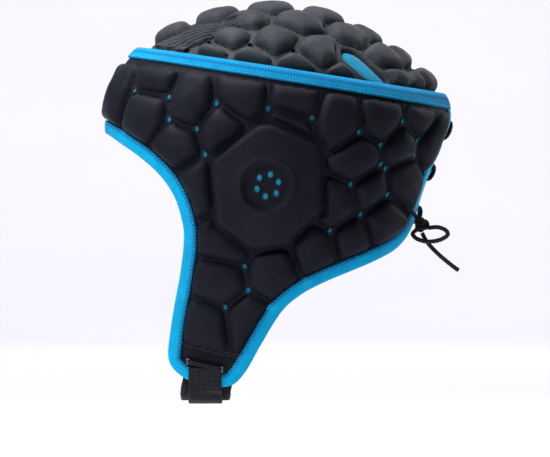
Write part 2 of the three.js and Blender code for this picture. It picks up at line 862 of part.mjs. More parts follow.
// Chin strap from tab to tab and the pad inside it, both symmetrical
function underChin(points, sideStations) {
  const left = [...sideStations, ...points.map(([y, z]) => ({
    centre: new THREE.Vector3(strapLevel.x, y, z),
    across: new THREE.Vector3(1, 0, 0),
  }))];
  const right = left.slice(0, -1).reverse().map(({ centre, across }) => ({
    centre: new THREE.Vector3(centre.x, -centre.y, centre.z),
    across: new THREE.Vector3(across.x, -across.y, across.z),
  }));
  const all = [...left, ...right];
  return all.map((station, i) => {
    const before = all[Math.max(0, i - 1)].centre;
    const after = all[Math.min(all.length - 1, i + 1)].centre;
    const along = after.clone().sub(before).normalize();
    const out = along.clone().cross(station.across).normalize();
    const across = out.clone().cross(along).normalize();
    return { centre: station.centre, across, out };
  });
}

const seat = fromTable(strapSeat);
const strapLevel = standOff(wallChart, seat, strapOffset);
function alongFlap(heights, offset) {
  return heights.map((height) => {
    const p = new THREE.Vector2(seat.x, height);
    const step = new THREE.Vector2(1, 0);
    const across = wallChart(p.clone().add(step)).sub(wallChart(p.clone().sub(step))).normalize();
    return { centre: standOff(wallChart, p, offset), across };
  });
}

function chinStrap() {
  const middle = strapBottom + strapThickness / 2;
  const beside = alongFlap([seat.y, seat.y - 6, seat.y - 12], strapOffset + strapThickness / 2);
  const under = [[-47.5, middle + 6.5], [-42.5, middle + 2.4], [-34, middle + 0.2], [-17, middle], [0, middle]];
  return strip(underChin(under, beside), strapWidth, strapThickness);
}

function chinPad() {
  const middle = strapBottom + strapThickness + layerGap + chinPadThickness / 2;
  const beside = alongFlap([seat.y, seat.y - 7], chinPadOffset);
  const under = [[-38.5, middle + 4.5], [-34, middle + 1.5], [-27, middle], [0, middle]];
  return strip(underChin(under, beside), chinPadWidth, chinPadThickness);
}

// Back edge of the side panel at a height, on the chart
function backEdgeAt(height) {
  const back = hemLine.filter((p) => p.x > arcOfTurn(150 * radian));
  const above = back.findIndex((p) => p.y > height);
  const [a, b] = [back[above - 1], back[above]];
  return a.clone().lerp(b, (height - a.y) / (b.y - a.y));
}

const middleOf = (p) => (lowestLayer(p) + sideOuter(p)) / 2;
const mirror = (p) => new THREE.Vector3(p.x, -p.y, p.z);

function laceLoop(down, mirrored) {
  const height = equator - down * wallDepth;
  const start = foldDepth + layerGap + loopSeat;
  const shape = [[0, 0.5], [0.75, 0.4], [1, 0], [0.75, -0.4], [0, -0.5]];
  const route = shape.map(([out, along]) => {
    const edge = backEdgeAt(height + along * loopLength);
    const p = new THREE.Vector2(edge.x + start + out * loopBulge, edge.y);
    return standOff(wallChart, p, middleOf(edge));
  });
  return cord(mirrored ? route.map(mirror) : route, 6);
}

function laceAt(down, flipped) {
  const edge = backEdgeAt(equator - down * wallDepth);
  const p = new THREE.Vector2(edge.x + foldDepth + laceDiameter, edge.y);
  const point = standOff(wallChart, p, middleOf(edge) - laceDiameter - laceSlack);
  return flipped ? mirror(point) : point;
}

// The lace crosses the gap from loop to loop; of two strands that cross, one lies outside the other.
function acrossGap(from, to, bow) {
  const middle = from.clone().add(to).multiplyScalar(0.5);
  middle.x += bow;
  return middle;
}

function lace() {
  const [top, mid, low] = loopRows.map((row) => row.down);
  const over = laceDiameter + 2 * layerGap;
  const stops = [
    laceAt(low, false), laceAt(mid, true), laceAt(top, false),
    laceAt(top, true), laceAt(mid, false), laceAt(low, true),
  ];
  const bows = [1, 1, 2.5, over + 1, over + 1];
  const route = [];
  stops.forEach((stop, i) => {
    route.push(stop);
    if (i < bows.length) route.push(acrossGap(stop, stops[i + 1], bows[i]));
  });
  return cord(route, 40);
}

// Strand that comes out at the last vent, over the tape to the knot
function laceTail() {
  const vent = fromTable(laceVent);
  const surface = standOff(wallChart, vent, sideOuter(vent) + laceDiameter / 2 + layerGap);
  const tape = new THREE.Vector2(vent.x + 10, vent.y - 6);
  const overTape = standOff(wallChart, tape, sideOuter(tape) + tapeThickness + laceDiameter / 2 + 3 * layerGap);
  const towards = overTape.clone().sub(knotPlace).normalize();
  const end = knotPlace.clone().addScaledVector(towards, knotRadius + layerGap);
  return cord([surface, overTape, end], 8);
}

const knotGeometry = () => new THREE.SphereGeometry(knotRadius, 12, 8)
  .translate(knotPlace.x, knotPlace.y, knotPlace.z);
const routeOf = (rows) => rows.map((row) => new THREE.Vector3(...row));

const cap = new THREE.Group();
function add(name, geometry, colour, roughness) {
  const material = new THREE.MeshStandardMaterial({ color: colour, roughness, metalness: 0 });
  const mesh = new THREE.Mesh(geometry, material);
  mesh.name = name;
  cap.add(mesh);
}

add('side_panel_left', sidePanel(false), colours.padding, 0.85);
add('side_panel_right', sidePanel(true), colours.padding, 0.85);
add('crown_panel', crownPanel(), colours.padding, 0.85);
add('lining_left', sideLining(false), colours.lining, 0.9);
add('lining_right', sideLining(true), colours.lining, 0.9);
add('crown_lining', crownLining(), colours.lining, 0.9);
add('top_binding', topBinding(), colours.tape, 0.7);
add('edge_binding', edgeBinding(), colours.tape, 0.7);
add('chin_strap', chinStrap(), colours.webbing, 0.8);
add('chin_pad', chinPad(), colours.webbing, 0.85);
loopRows.forEach((row, i) => {
  add(`lace_loop_left_${i + 1}`, laceLoop(row.down, false), colours.lace, 0.8);
  add(`lace_loop_right_${i + 1}`, laceLoop(row.down, true), colours.lace, 0.8);
});
add('lace', lace(), colours.lace, 0.8);
add('lace_tail', laceTail(), colours.lace, 0.8);
add('lace_knot', knotGeometry(), colours.lace, 0.8);
add('lace_bow', cord(routeOf(bowRoute), 24), colours.lace, 0.8);
add('lace_end', cord(routeOf(endRoute), 12), colours.lace, 0.8);

export default cap;
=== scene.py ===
# Padded rugby scrum cap as worn: +Z is up and the face looks toward -X.
# Sizes are in millimetres until a mesh is made.
import math

import bpy
import numpy as np
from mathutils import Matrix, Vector
from mathutils.geometry import delaunay_2d_cdt


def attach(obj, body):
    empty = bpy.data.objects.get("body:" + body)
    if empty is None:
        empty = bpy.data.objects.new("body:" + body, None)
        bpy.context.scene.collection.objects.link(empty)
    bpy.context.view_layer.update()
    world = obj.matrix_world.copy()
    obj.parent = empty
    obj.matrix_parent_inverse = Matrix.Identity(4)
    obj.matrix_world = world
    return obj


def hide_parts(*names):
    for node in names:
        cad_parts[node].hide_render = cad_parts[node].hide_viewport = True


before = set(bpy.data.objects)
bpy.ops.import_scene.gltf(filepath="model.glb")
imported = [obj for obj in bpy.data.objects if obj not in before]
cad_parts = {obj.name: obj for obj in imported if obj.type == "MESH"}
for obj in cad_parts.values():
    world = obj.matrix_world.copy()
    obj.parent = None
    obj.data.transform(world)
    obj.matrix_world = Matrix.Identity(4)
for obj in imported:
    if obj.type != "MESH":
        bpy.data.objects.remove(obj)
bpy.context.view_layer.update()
metre = 0.001  # a millimetre in Blender's metres

head = {"front": 100.5, "back": 101.0, "halfWidth": 77.0, "crown": 65.0, "wallDepth": 175.0, "flatness": 9.0}
equator = -head["crown"]

# Sections of the head below its widest level: depth share, width share, back share
wallSections = np.array([
    (0, 1, 1), (0.09, 0.995, 0.975), (0.155, 0.99, 0.93), (0.235, 0.98, 0.89), (0.32, 0.955, 0.857),
    (0.41, 0.92, 0.832), (0.55, 0.865, 0.82), (0.72, 0.78, 0.81), (0.9, 0.66, 0.8), (1.05, 0.56, 0.8),
])


def sectionShare(column, at):
    down, value = wallSections[:, 0], wallSections[:, column]
    slope = np.zeros(len(down))
    slope[1:-1] = (value[2:] - value[:-2]) / (down[2:] - down[:-2])
    at = np.clip(at, down[0], down[-1])
    i = np.clip(np.searchsorted(down, at, "right") - 1, 0, len(down) - 2)
    span = down[i + 1] - down[i]
    t = (at - down[i]) / span
    rise = t * t * (3 - 2 * t)
    bend = t * (1 - t) ** 2 * span * slope[i] + t * t * (t - 1) * span * slope[i + 1]
    return value[i] * (1 - rise) + value[i + 1] * rise + bend


def smoothStep(low, high, at):
    t = np.clip((np.asarray(at, float) - low) / (high - low), 0, 1)
    return t * t * (3 - 2 * t)


def headPoint(turn, lean, drop):  # turn from the brow, lean from the apex, drop below the widest level
    share = drop / head["wallDepth"]
    length = np.where(np.cos(turn) > 0, head["front"], sectionShare(2, share) * head["back"])
    width = sectionShare(1, share) * head["halfWidth"]
    behind = np.maximum(0, -np.cos(turn)) ** 1.5
    flat = 1 - head["flatness"] / head["back"] * np.sin(2 * lean) ** 2 * behind
    reach = np.sin(lean) * flat
    rise = equator + head["crown"] * np.cos(lean) * flat - drop
    return np.stack([-length * np.cos(turn) * reach, -width * np.sin(turn) * reach, rise], axis=-1)


def wallPoint(turn, height):
    lean = np.arccos(np.clip((height - equator) / head["crown"], 0, 1))
    return headPoint(turn, lean, np.maximum(0, equator - height))


def lengthAlong(points, closed=False):
    ends = np.vstack([points, points[:1]]) if closed else points
    return np.concatenate([[0], np.cumsum(np.linalg.norm(np.diff(ends, axis=0), axis=1))])


# Arc length along the widest section, from the brow
turnSteps = np.linspace(0, math.pi, 361)
arcSteps = lengthAlong(wallPoint(turnSteps, np.full(361, equator)))


def arcOfTurn(degrees):
    return np.interp(np.radians(degrees), turnSteps, arcSteps)


def turnOfArc(arc):
    i = np.clip(np.searchsorted(arcSteps, arc, "right") - 1, 0, 359)
    share = (arc - arcSteps[i]) / (arcSteps[i + 1] - arcSteps[i])
    return turnSteps[i] + share * (turnSteps[1] - turnSteps[0])


# Side chart: arc length from the brow, and height.
# Crown chart: as seen from above, with distances that run out from the apex.
def wallChart(p):
    return wallPoint(turnOfArc(p[..., 0]), p[..., 1])


crownLengthwise = (head["front"] + head["crown"]) / 2
crownCrosswise = (head["halfWidth"] + head["crown"]) / 2


def crownChart(p):
    along, across = p[..., 0] / crownLengthwise, p[..., 1] / crownCrosswise
    return headPoint(np.arctan2(-across, -along), np.hypot(along, across), 0.0)


def fromLean(turn, lean):
    return np.stack([-np.cos(turn) * lean * crownLengthwise, -np.sin(turn) * lean * crownCrosswise], axis=-1)


def fromShares(rows):  # rows of turn in degrees and depth share
    rows = np.array(rows, float)
    return np.stack([arcOfTurn(rows[:, 0]), equator - rows[:, 1] * head["wallDepth"]], axis=-1)


def faceNormal(chart, p):
    step = 0.05
    along = chart(p + (step, 0)) - chart(p - (step, 0))
    up = chart(p + (0, step)) - chart(p - (0, step))
    normal = np.cross(along, up)
    return normal / np.linalg.norm(normal, axis=-1, keepdims=True)


def standOff(chart, p, distance):
    p = np.asarray(p, float)
    return chart(p) + faceNormal(chart, p) * np.reshape(distance, np.shape(distance) + (1,))


def walk(chart, p, direction, distance):
    step = 0.5
    real = np.linalg.norm(chart(p + direction * step) - chart(p), axis=-1, keepdims=True) / step
    return p + direction * np.reshape(distance, np.shape(distance) + (1,)) / real


layers = {
    "gap": 0.4, "lining": 1.0, "crownCloth": 2.7, "flangeCloth": 1.5, "sideCloth": 2.6, "edgeCloth": 2.3,
    "tape": 1.0, "padTop": 11.2, "padTopAtBand": 12.6,
}
tape = {
    "width": 8.5, "middleHeight": -35.6, "slope": -0.155, "offset": 9.0, "nose": 6,
    "toothPitch": 1.8, "toothDepth": 0.5, "spacing": 0.6, "crown": 0.35,
}
foldDepth = layers["tape"] + layers["gap"]


def bandMiddle(arc):  # height on the chart at which the band's tilted plane meets its outer face
    low = np.full(len(arc), equator)
    high = low + head["crown"] * 0.9
    for i in range(30):
        middle = (low + high) / 2
        at = standOff(wallChart, np.stack([arc, middle], axis=-1), np.full(len(arc), tape["offset"]))
        under = at[:, 2] < tape["middleHeight"] + tape["slope"] * at[:, 0]
        low, high = np.where(under, middle, low), np.where(under, high, middle)
    return np.stack([arc, low], axis=-1)


bandArcs = np.linspace(0, arcSteps[-1], 181)
bandTop = walk(wallChart, bandMiddle(bandArcs), np.array([0.0, 1.0]),
               np.full(len(bandArcs), tape["width"] / 2 - foldDepth))
bandRate = np.linalg.norm(wallChart(bandTop) - wallChart(bandTop - (0, 1)), axis=-1)


def topHeight(arc):
    return np.interp(arc, bandArcs, bandTop[:, 1])


def belowTop(arc, depth):
    arc = np.asarray(arc, float)
    return np.stack([arc, topHeight(arc) - depth / np.interp(arc, bandArcs, bandRate)], axis=-1)


def depthOf(p):
    return (topHeight(p[..., 0]) - p[..., 1]) * np.interp(p[..., 0], bandArcs, bandRate)


crownInner = layers["lining"] + layers["gap"]
crownOuter = crownInner + layers["crownCloth"]
flangeOuter = crownInner + layers["flangeCloth"]
lowInner = layers["tape"] + 2 * layers["gap"] + layers["lining"]
highInner = flangeOuter + layers["tape"] + layers["lining"] + 3 * layers["gap"]


def lift(p):
    return 1 - smoothStep(9, 27, depthOf(p))


def sideInner(p):
    return lowInner + (highInner - lowInner) * lift(p)


def sideOuter(p):
    return sideInner(p) + layers["sideCloth"] + (layers["edgeCloth"] - layers["sideCloth"]) * lift(p)


def lowestLayer(p):
    return sideInner(p) - layers["gap"] - layers["lining"]


def sidePadTop(p):
    return layers["padTop"] + (layers["padTopAtBand"] - layers["padTop"]) * lift(p)


# Curves and loops
def splineThrough(points, perSpan=24):
    points = np.asarray(points, float)
    before = np.vstack([points[:1], points[:-1]])[:-1]
    after = np.vstack([points[1:], points[-1:]])[1:]
    t = (np.arange(perSpan) / perSpan)[None, :, None]
    a, b = points[:-1, None], points[1:, None]
    va, vb = (b - before[:, None]) / 2, (after[:, None] - a) / 2
    spans = (2 * a - 2 * b + va + vb) * t ** 3 + (3 * b - 3 * a - 2 * va - vb) * t ** 2 + va * t + a
    return np.vstack([spans.reshape(-1, points.shape[1]), points[-1:]])


def evenly(points, spacing, closed=False):
    points = np.asarray(points, float)
    along = lengthAlong(points, closed)
    ends = np.vstack([points, points[:1]]) if closed else points
    count = max(2, round(along[-1] / spacing))
    at = np.linspace(0, along[-1], count + 1)
    at = at[:-1] if closed else at
    return np.stack([np.interp(at, along, ends[:, k]) for k in range(points.shape[1])], axis=-1)


def distanceToLoop(p, loop):
    best = np.full(len(p), np.inf)
    for a, b in zip(loop, np.roll(loop, -1, axis=0)):
        edge = b - a
        t = np.clip((p - a) @ edge / max(edge @ edge, 1e-12), 0, 1)
        best = np.minimum(best, np.linalg.norm(p - a - t[:, None] * edge, axis=1))
    return best


def insideLoop(p, loop):
    within = np.zeros(len(p), bool)
    for a, b in zip(loop, np.roll(loop, -1, axis=0)):
        if a[1] == b[1]:
            continue
        crosses = (a[1] > p[:, 1]) != (b[1] > p[:, 1])
        within ^= crosses & (p[:, 0] < (b[0] - a[0]) * (p[:, 1] - a[1]) / (b[1] - a[1]) + a[0])
    return within


def signedDistance(p, loop):  # positive inside
    return np.where(insideLoop(p, loop), 1, -1) * distanceToLoop(p, loop)


def softLeast(distances, softness):
    least = distances.min(axis=0)
    return least - softness * np.log(np.exp(-(distances - least) / softness).sum(axis=0))


def anticlockwise(loop):
    following = np.roll(loop, -1, axis=0)
    area = (loop[:, 0] * following[:, 1] - loop[:, 1] * following[:, 0]).sum()
    return loop if area > 0 else loop[::-1].copy()


# Meshes
sharpAngle = math.radians(50)  # edges bent more than this look sharp


def meshPiece(name, points, faces, material):
    mesh = bpy.data.meshes.new(name)
    mesh.from_pydata((np.asarray(points) * metre).tolist(), [], faces)
    mesh.materials.append(material)
    mesh.polygons.foreach_set("use_smooth", np.ones(len(mesh.polygons), bool))
    mesh.set_sharp_from_angle(angle=sharpAngle)
    mesh.update()
    piece = bpy.data.objects.new(name, mesh)
    bpy.context.scene.collection.objects.link(piece)
    return piece


def clothTriangles(outline, cuts, spacing):  # even triangles between an outline and its cut-outs
    low, high = outline.min(axis=0), outline.max(axis=0)
    rows = np.arange(low[1], high[1], spacing * math.sqrt(3) / 2)
    columns = np.arange(low[0], high[0], spacing)
    lattice = np.array([(x + spacing / 2 * (j % 2), y) for j, y in enumerate(rows) for x in columns])
    lattice = lattice[insideLoop(lattice, outline)]
    lattice = lattice[distanceToLoop(lattice, outline) > spacing * 0.55]
    for cut in cuts:
        lattice = lattice[signedDistance(lattice, cut) < -spacing * 0.35]
    loops = [outline] + list(cuts)
    points = np.vstack(loops + [lattice])
    edges = []
    start = 0
    for loop in loops:
        edges += [(start + i, start + (i + 1) % len(loop)) for i in range(len(loop))]
        start += len(loop)
    found = delaunay_2d_cdt(points.tolist(), edges, [], 0, 1e-7)
    points = np.array([tuple(p) for p in found[0]])
    triangles = np.array(found[2])
    middles = points[triangles].mean(axis=1)
    kept = insideLoop(middles, outline)
    for cut in cuts:
        kept &= ~insideLoop(middles, cut)
    triangles = triangles[kept]
    a, b, c = (points[triangles[:, k]] for k in range(3))
    turned = (b[:, 0] - a[:, 0]) * (c[:, 1] - a[:, 1]) < (b[:, 1] - a[:, 1]) * (c[:, 0] - a[:, 0])
    triangles[turned] = triangles[turned][:, ::-1]
    used, triangles = np.unique(triangles, return_inverse=True)
    return points[used], triangles.reshape(-1, 3)


def closedCloth(low, high, triangles):  # both faces of a cloth and the walls round its edges
    count = len(low)
    directed = {(int(t[k]), int(t[(k + 1) % 3])) for t in triangles for k in range(3)}
    rim = [(a, b) for a, b in directed if (b, a) not in directed]
    faces = triangles.tolist() + (triangles[:, ::-1] + count).tolist()
    faces += [(b, a, a + count, b + count) for a, b in sorted(rim)]
    return np.vstack([high, low]), faces


def areaOf(points, triangles):
    points = np.pad(points, ((0, 0), (0, 3 - points.shape[1])))
    a, b, c = (points[triangles[:, k]] for k in range(3))
    return np.linalg.norm(np.cross(b - a, c - a), axis=1).sum() / 2


def mirrored(points, faces):
    return points * (1, -1, 1), [tuple(face)[::-1] for face in faces]


# Outline of the left side panel on its chart, from the brow round the cheek flap to the nape and back
hemPoints = fromShares([
    (0, 0.04), (12, 0.048), (23, 0.073), (36, 0.12), (46.5, 0.184), (53.5, 0.262), (57, 0.357),
    (57.5, 0.43), (56, 0.54), (53.5, 0.65), (51.5, 0.75), (50.5, 0.835), (53.5, 0.882), (59, 0.912),
    (68, 0.932), (74.5, 0.924), (79, 0.878), (84.5, 0.78), (91, 0.676), (99, 0.612), (109, 0.566),
    (121, 0.527), (134, 0.49), (146, 0.452), (155, 0.405), (160, 0.35), (163, 0.26), (166.5, 0.17),
    (170.5, 0.08), (173.5, 0), (174.5, -0.05),
])
seamGap = 0.3
hemPoints[0, 0] = seamGap / 2
hemPoints[-1] = belowTop(hemPoints[-1, 0], tape["width"] - foldDepth + 2 * layers["gap"])
hemFine = evenly(splineThrough(hemPoints), tape["spacing"])
clothSpacing = 1.25
hemLine = evenly(hemFine, clothSpacing)
backTop = hemPoints[-1]
topArcs = np.linspace(backTop[0], seamGap / 2, round(backTop[0] / clothSpacing))
topLine = belowTop(topArcs, 0 * topArcs)
frontTop, frontFoot = topLine[-1], hemLine[0]
frontLine = evenly(np.array([frontTop, frontFoot]), clothSpacing)[1:-1]
sideOutline = np.vstack([hemLine, topLine, frontLine])

pads = {
    "channel": 3.6, "edgeMargin": 8.2, "round": 5.2, "corner": 1.5, "rise": 1.9, "barRise": 0.6,
    "barWidth": 1.5, "smallest": 70, "dome": 0.32, "reach": 17.0,
}
sideSeeds = fromShares([
    (16, -0.09), (42, -0.14), (59.5, -0.055), (40.5, -0.03), (78, -0.085), (97, -0.07), (55, 0.085),
    (71, 0.035), (110.5, 0.0), (128.5, -0.005), (147, -0.01), (139, 0.085), (121, 0.135),
    (157, 0.065), (144, 0.195), (128.5, 0.245), (114, 0.3), (135, 0.34), (63, 0.22), (70.5, 0.565),
    (89, 0.54), (106.5, 0.455), (121, 0.41), (73.5, 0.43), (65, 0.72), (81, 0.7), (95, 0.03),
])
earOutline = anticlockwise(fromShares([
    (68.5, 0.14), (84, 0.012), (88, 0.01), (105, 0.092), (107, 0.31), (94, 0.43), (82, 0.448), (70.5, 0.36),
]))
tabSeam = fromShares([(56.5, 0.778), (77.5, 0.822)])


# Nearest pad, depth inside it, distances to the lines between pads and distance outside the island
def padField(p, seeds, edges, island, corner):
    away = np.linalg.norm(p[None] - seeds[:, None], axis=2)
    nearest = away.argmin(axis=0)
    own = away[nearest, np.arange(len(p))]
    span = np.linalg.norm(seeds[:, None] - seeds[None], axis=2)[nearest].T
    bisectors = (away ** 2 - own ** 2) / np.maximum(2 * span, 1e-6)
    bisectors[nearest, np.arange(len(p))] = np.inf
    sides = [bisectors - pads["channel"] / 2] + [edge[None] for edge in edges]
    outsideIsland = -signedDistance(p, island)
    sides = np.vstack(sides + [(outsideIsland - pads["channel"])[None]])
    ordered = np.sort(np.where(np.isfinite(bisectors), bisectors, 1e6), axis=0)
    return nearest, softLeast(np.minimum(sides, 60), corner), ordered, outsideIsland


def withoutSlivers(nearest, inward, count, pointArea):  # pads too small to be made are left flat
    room = np.bincount(nearest[inward > 0], minlength=count) * pointArea
    return np.where(room[nearest] < pads["smallest"], -3.0, inward)


def padShape(inward, reach, rounding):  # share of the pad's height: rounded sides and a domed top
    t = np.clip(inward / rounding, 0, 1)
    side = np.sqrt(np.maximum(0, 1 - (1 - t) ** 2))
    return side * (1 - pads["dome"]) + smoothStep(0, reach, inward) * pads["dome"]


def channelBars(inward, ordered, clear):  # low ridge along each channel, clear of its junctions
    ridge = 1 - smoothStep(0, pads["barWidth"], ordered[0])
    between = smoothStep(3.2, 5.2, ordered[1]) * smoothStep(0.2, 1.2, -inward)
    return pads["barRise"] * ridge * between * clear


def junctions(seeds):  # places where three pads meet
    found = delaunay_2d_cdt(seeds.tolist(), [], [], 0, 1e-7)
    centres = []
    for triangle in found[2]:
        a, b, c = (np.array(found[0][k]) for k in triangle)
        d = 2 * (a[0] * (b[1] - c[1]) + b[0] * (c[1] - a[1]) + c[0] * (a[1] - b[1]))
        if abs(d) < 1:
            continue
        x = (a @ a * (b[1] - c[1]) + b @ b * (c[1] - a[1]) + c @ c * (a[1] - b[1])) / d
        y = (a @ a * (c[0] - b[0]) + b @ b * (a[0] - c[0]) + c @ c * (b[0] - a[0])) / d
        centres.append((x, y))
    return np.array(centres)


vents = {"radius": 1.5, "corners": 14, "rim": 0.3, "stretch": 1.25, "apart": 4.2}


def ventLoop(centre):
    angles = np.linspace(0, 2 * math.pi, vents["corners"], endpoint=False)
    ring = np.stack([np.cos(angles), np.sin(angles) * vents["stretch"]], axis=-1)
    return centre + ring * vents["radius"]


def spacedOut(centres, least):
    kept = []
    for p in centres:
        if all(np.linalg.norm(p - q) > least for q in kept):
            kept.append(p)
    return np.array(kept)


def sideEdges(p):
    depth = depthOf(p)
    along = tabSeam[1] - tabSeam[0]
    along = along / np.linalg.norm(along)
    tab = along[0] * (p[:, 1] - tabSeam[0, 1]) - along[1] * (p[:, 0] - tabSeam[0, 0])
    return [distanceToLoop(p, sideOutline) - pads["edgeMargin"], depth - pads["edgeMargin"], tab]


sideVents = junctions(sideSeeds)
sideVents = sideVents[insideLoop(sideVents, sideOutline)]
sideVents = sideVents[np.min(sideEdges(sideVents), axis=0) > 0]
sideVents = sideVents[-signedDistance(sideVents, earOutline) > vents["radius"] + vents["rim"] + 0.3]
sideVents = spacedOut(sideVents, vents["apart"])

earDish = {
    "edge": 3.4, "edgeShare": 0.86, "reach": 18, "rise": 0.8, "radius": 15.5, "depth": 2.6, "bevel": 3.2,
    "ringRise": 0.9, "ringWidth": 1.4,
}
earMiddle = earOutline.mean(axis=0)


def earShape(p, top):  # flat-topped ear pad with a shallow round dish in its middle
    inward = softLeast(np.array([signedEdge(p, earOutline, i) for i in range(len(earOutline))]), 0.8)
    t = np.clip(inward / earDish["edge"], 0, 1)
    height = top * (earDish["edgeShare"] * np.sqrt(1 - (1 - t) ** 2)
                    + (1 - earDish["edgeShare"]) * smoothStep(0, earDish["reach"], inward))
    away = np.linalg.norm(p - earMiddle, axis=1)
    dish = 1 - smoothStep(earDish["radius"] - earDish["bevel"], earDish["radius"], away)
    ring = np.exp(-((away - earDish["radius"] - 0.4) / earDish["ringWidth"]) ** 2)
    return inward, height - dish * earDish["depth"] + ring * earDish["ringRise"] * (inward > 2)


def signedEdge(p, loop, i):  # distance inward of one edge of an anticlockwise loop
    a, b = loop[i], loop[(i + 1) % len(loop)]
    along = (b - a) / np.linalg.norm(b - a)
    return along[0] * (p[:, 1] - a[1]) - along[1] * (p[:, 0] - a[0])


wrinkleWaves = ((0.31, 0.12, 0.4), (-0.17, 0.36, 2.1), (0.43, -0.29, 4.0), (0.11, 0.58, 1.2))


def wrinkles(p, seedShift, size):  # soft uneven puckers of the stretched cloth
    waves = np.zeros(len(p))
    for k, (fx, fy, phase) in enumerate(wrinkleWaves):
        bend = 1.3 * np.sin(p[:, 1 - k % 2] * 0.09)
        waves += np.sin(p[:, 0] * fx + p[:, 1] * fy + phase + seedShift + bend) / (k + 1.5)
    return size * waves


# Raised strip between the two grooves of the seam above the tab
tabRelief = {
    "middle": 1.3, "width": 0.8, "rise": 0.6, "grooves": (-0.4, 3.2), "grooveWidth": 0.7, "depth": 0.5,
}


def sideRelief(p):
    nearest, inward, ordered, outsideEar = padField(p, sideSeeds, sideEdges(p), earOutline, pads["corner"])
    inward = withoutSlivers(nearest, np.where(outsideEar > 0, inward, -3), len(sideSeeds), sideArea)
    base = sideOuter(p)
    room = sidePadTop(p) - base + pads["rise"]
    raised = room * padShape(inward, pads["reach"], pads["round"])
    earInward, earRaised = earShape(p, room + earDish["rise"])
    raised = np.where(earInward > 0, earRaised, raised)
    clear = smoothStep(2, 5, outsideEar) * smoothStep(-1, 2, np.min(sideEdges(p), axis=0))
    raised += channelBars(inward, ordered, clear)
    below = -sideEdges(p)[2]
    onTab = smoothStep(-6, -3, -np.abs(below - 1.2))
    raised += onTab * tabRelief["rise"] * np.exp(-((below - tabRelief["middle"]) / tabRelief["width"]) ** 2)
    for groove in tabRelief["grooves"]:
        raised -= onTab * tabRelief["depth"] * np.exp(-((below - groove) / tabRelief["grooveWidth"]) ** 2)
    soft = smoothStep(-1.5, 6, np.maximum(inward, earInward))
    return base + raised + wrinkles(p, 0.0, 0.16) * soft


eyelets = {"count": 6, "ring": 6.5}
eyeletTurns = np.linspace(0, 2 * math.pi, eyelets["count"], endpoint=False) + 0.3
earEyelets = earMiddle + eyelets["ring"] * np.stack([np.cos(eyeletTurns), np.sin(eyeletTurns)], axis=-1)
sideArea = clothSpacing ** 2 * math.sqrt(3) / 2
sideLoops = [ventLoop(v) for v in sideVents]
sidePoints, sideTriangles = clothTriangles(sideOutline, sideLoops, clothSpacing)
sideLow = standOff(wallChart, sidePoints, sideInner(sidePoints))
sideHigh = standOff(wallChart, sidePoints, sideRelief(sidePoints))
print("side panels", len(sideTriangles))


# Crown: the outline lies under the side panels' band
def crownEdge(depth):
    arcs = evenly(np.array([[0.0], [arcSteps[-1]]]), 1.6)[:, 0]
    height = belowTop(arcs, np.full(len(arcs), depth))[:, 1]
    lean = np.arccos(np.clip((height - equator) / head["crown"], 0, 1))
    half = fromLean(turnOfArc(arcs), lean)
    other = half[1:-1][::-1] * (1, -1)
    return np.vstack([half, other])[::-1]


crownSet = {
    "under": 8.0, "crease": 2.6, "padMargin": 1.8, "lip": 1.3, "lipWidth": 1.1, "lensEase": 0.9,
    "channel": 3.3,
    "round": 5.4, "corner": 1.1, "rise": 1.5,
}
crownOutline = crownEdge(crownSet["under"])
crownCrease = crownEdge(-crownSet["crease"])
crownPadEdge = crownEdge(-crownSet["crease"] - crownSet["padMargin"])
lensRows = np.radians([
    (122.5, 49.5), (128, 50.5), (131, 56), (133, 62.5), (135.5, 70), (132.5, 73), (127, 68.5), (122, 60.5),
    (120, 54.5),
])


def lensVent(side):
    corners = fromLean(side * lensRows[:, 0], lensRows[:, 1])
    rounded = evenly(splineThrough(np.vstack([corners, corners[:1]]), 8)[:-1], 1.2, closed=True)
    along = np.roll(rounded, -1, axis=0) - np.roll(rounded, 1, axis=0)
    outward = np.stack([along[:, 1], -along[:, 0]], axis=-1) / np.linalg.norm(along, axis=1, keepdims=True)
    outward *= np.sign(((rounded - rounded.mean(axis=0)) * outward).sum())
    return rounded + outward * crownSet["lensEase"]


lensVents = [lensVent(1), lensVent(-1)]
crownPads = np.array([
    (-1, -55), (-16, -72), (14, -76), (23, -63), (42, -77), (41, -28.5), (76, -14), (84, -54),
    (97, -43), (11, -34), (-15, -33), (-25, -49), (-42, -36), (-38, -60), (-65, -30), (-58, -50),
    (-80, -13), (-57, -11.5), (-30, -11.5), (-3, -11.5), (25, -11.5), (52, -9), (66, -34),
    (100, -15), (64, -74),
], float)
crownSeeds = np.vstack([crownPads, crownPads * (1, -1)])
crownSeeds = crownSeeds[insideLoop(crownSeeds, crownOutline)]


# Cloth gathered under the band at the front, in fine pleats that run back over the crown
gather = {
    "start": (-58.0, -34.0), "end": (-14.0, -38.0), "wide": 14.5, "narrow": 5.5, "pleats": 7, "rise": 1.7,
    "flatten": 0.8, "rows": 70, "columns": 84, "dip": 0.5, "clear": 0.8, "under": 1.2, "narrowing": 0.7,
}
gatherStart = np.array(gather["start"])
gatherRun = np.array(gather["end"]) - gatherStart
gatherLength = np.linalg.norm(gatherRun)
gatherSide = np.array([-gatherRun[1], gatherRun[0]]) / gatherLength


def gatherHalf(along):
    return gather["wide"] + (gather["narrow"] - gather["wide"]) * np.clip(along, 0, 1)


def gatherShare(p):  # how much of the pleats there is at a place
    left = np.stack([p[:, 0], -np.abs(p[:, 1])], axis=-1) - gatherStart
    along = left @ gatherRun / gatherLength ** 2
    across = left @ gatherSide / gatherHalf(along)
    share = (1 - smoothStep(0.8, 1, np.abs(across))) * smoothStep(0.3, 2.5, signedDistance(p, crownPadEdge))
    return share * (1 - smoothStep(0.75, 1, along)) * smoothStep(-0.3, 0, along)


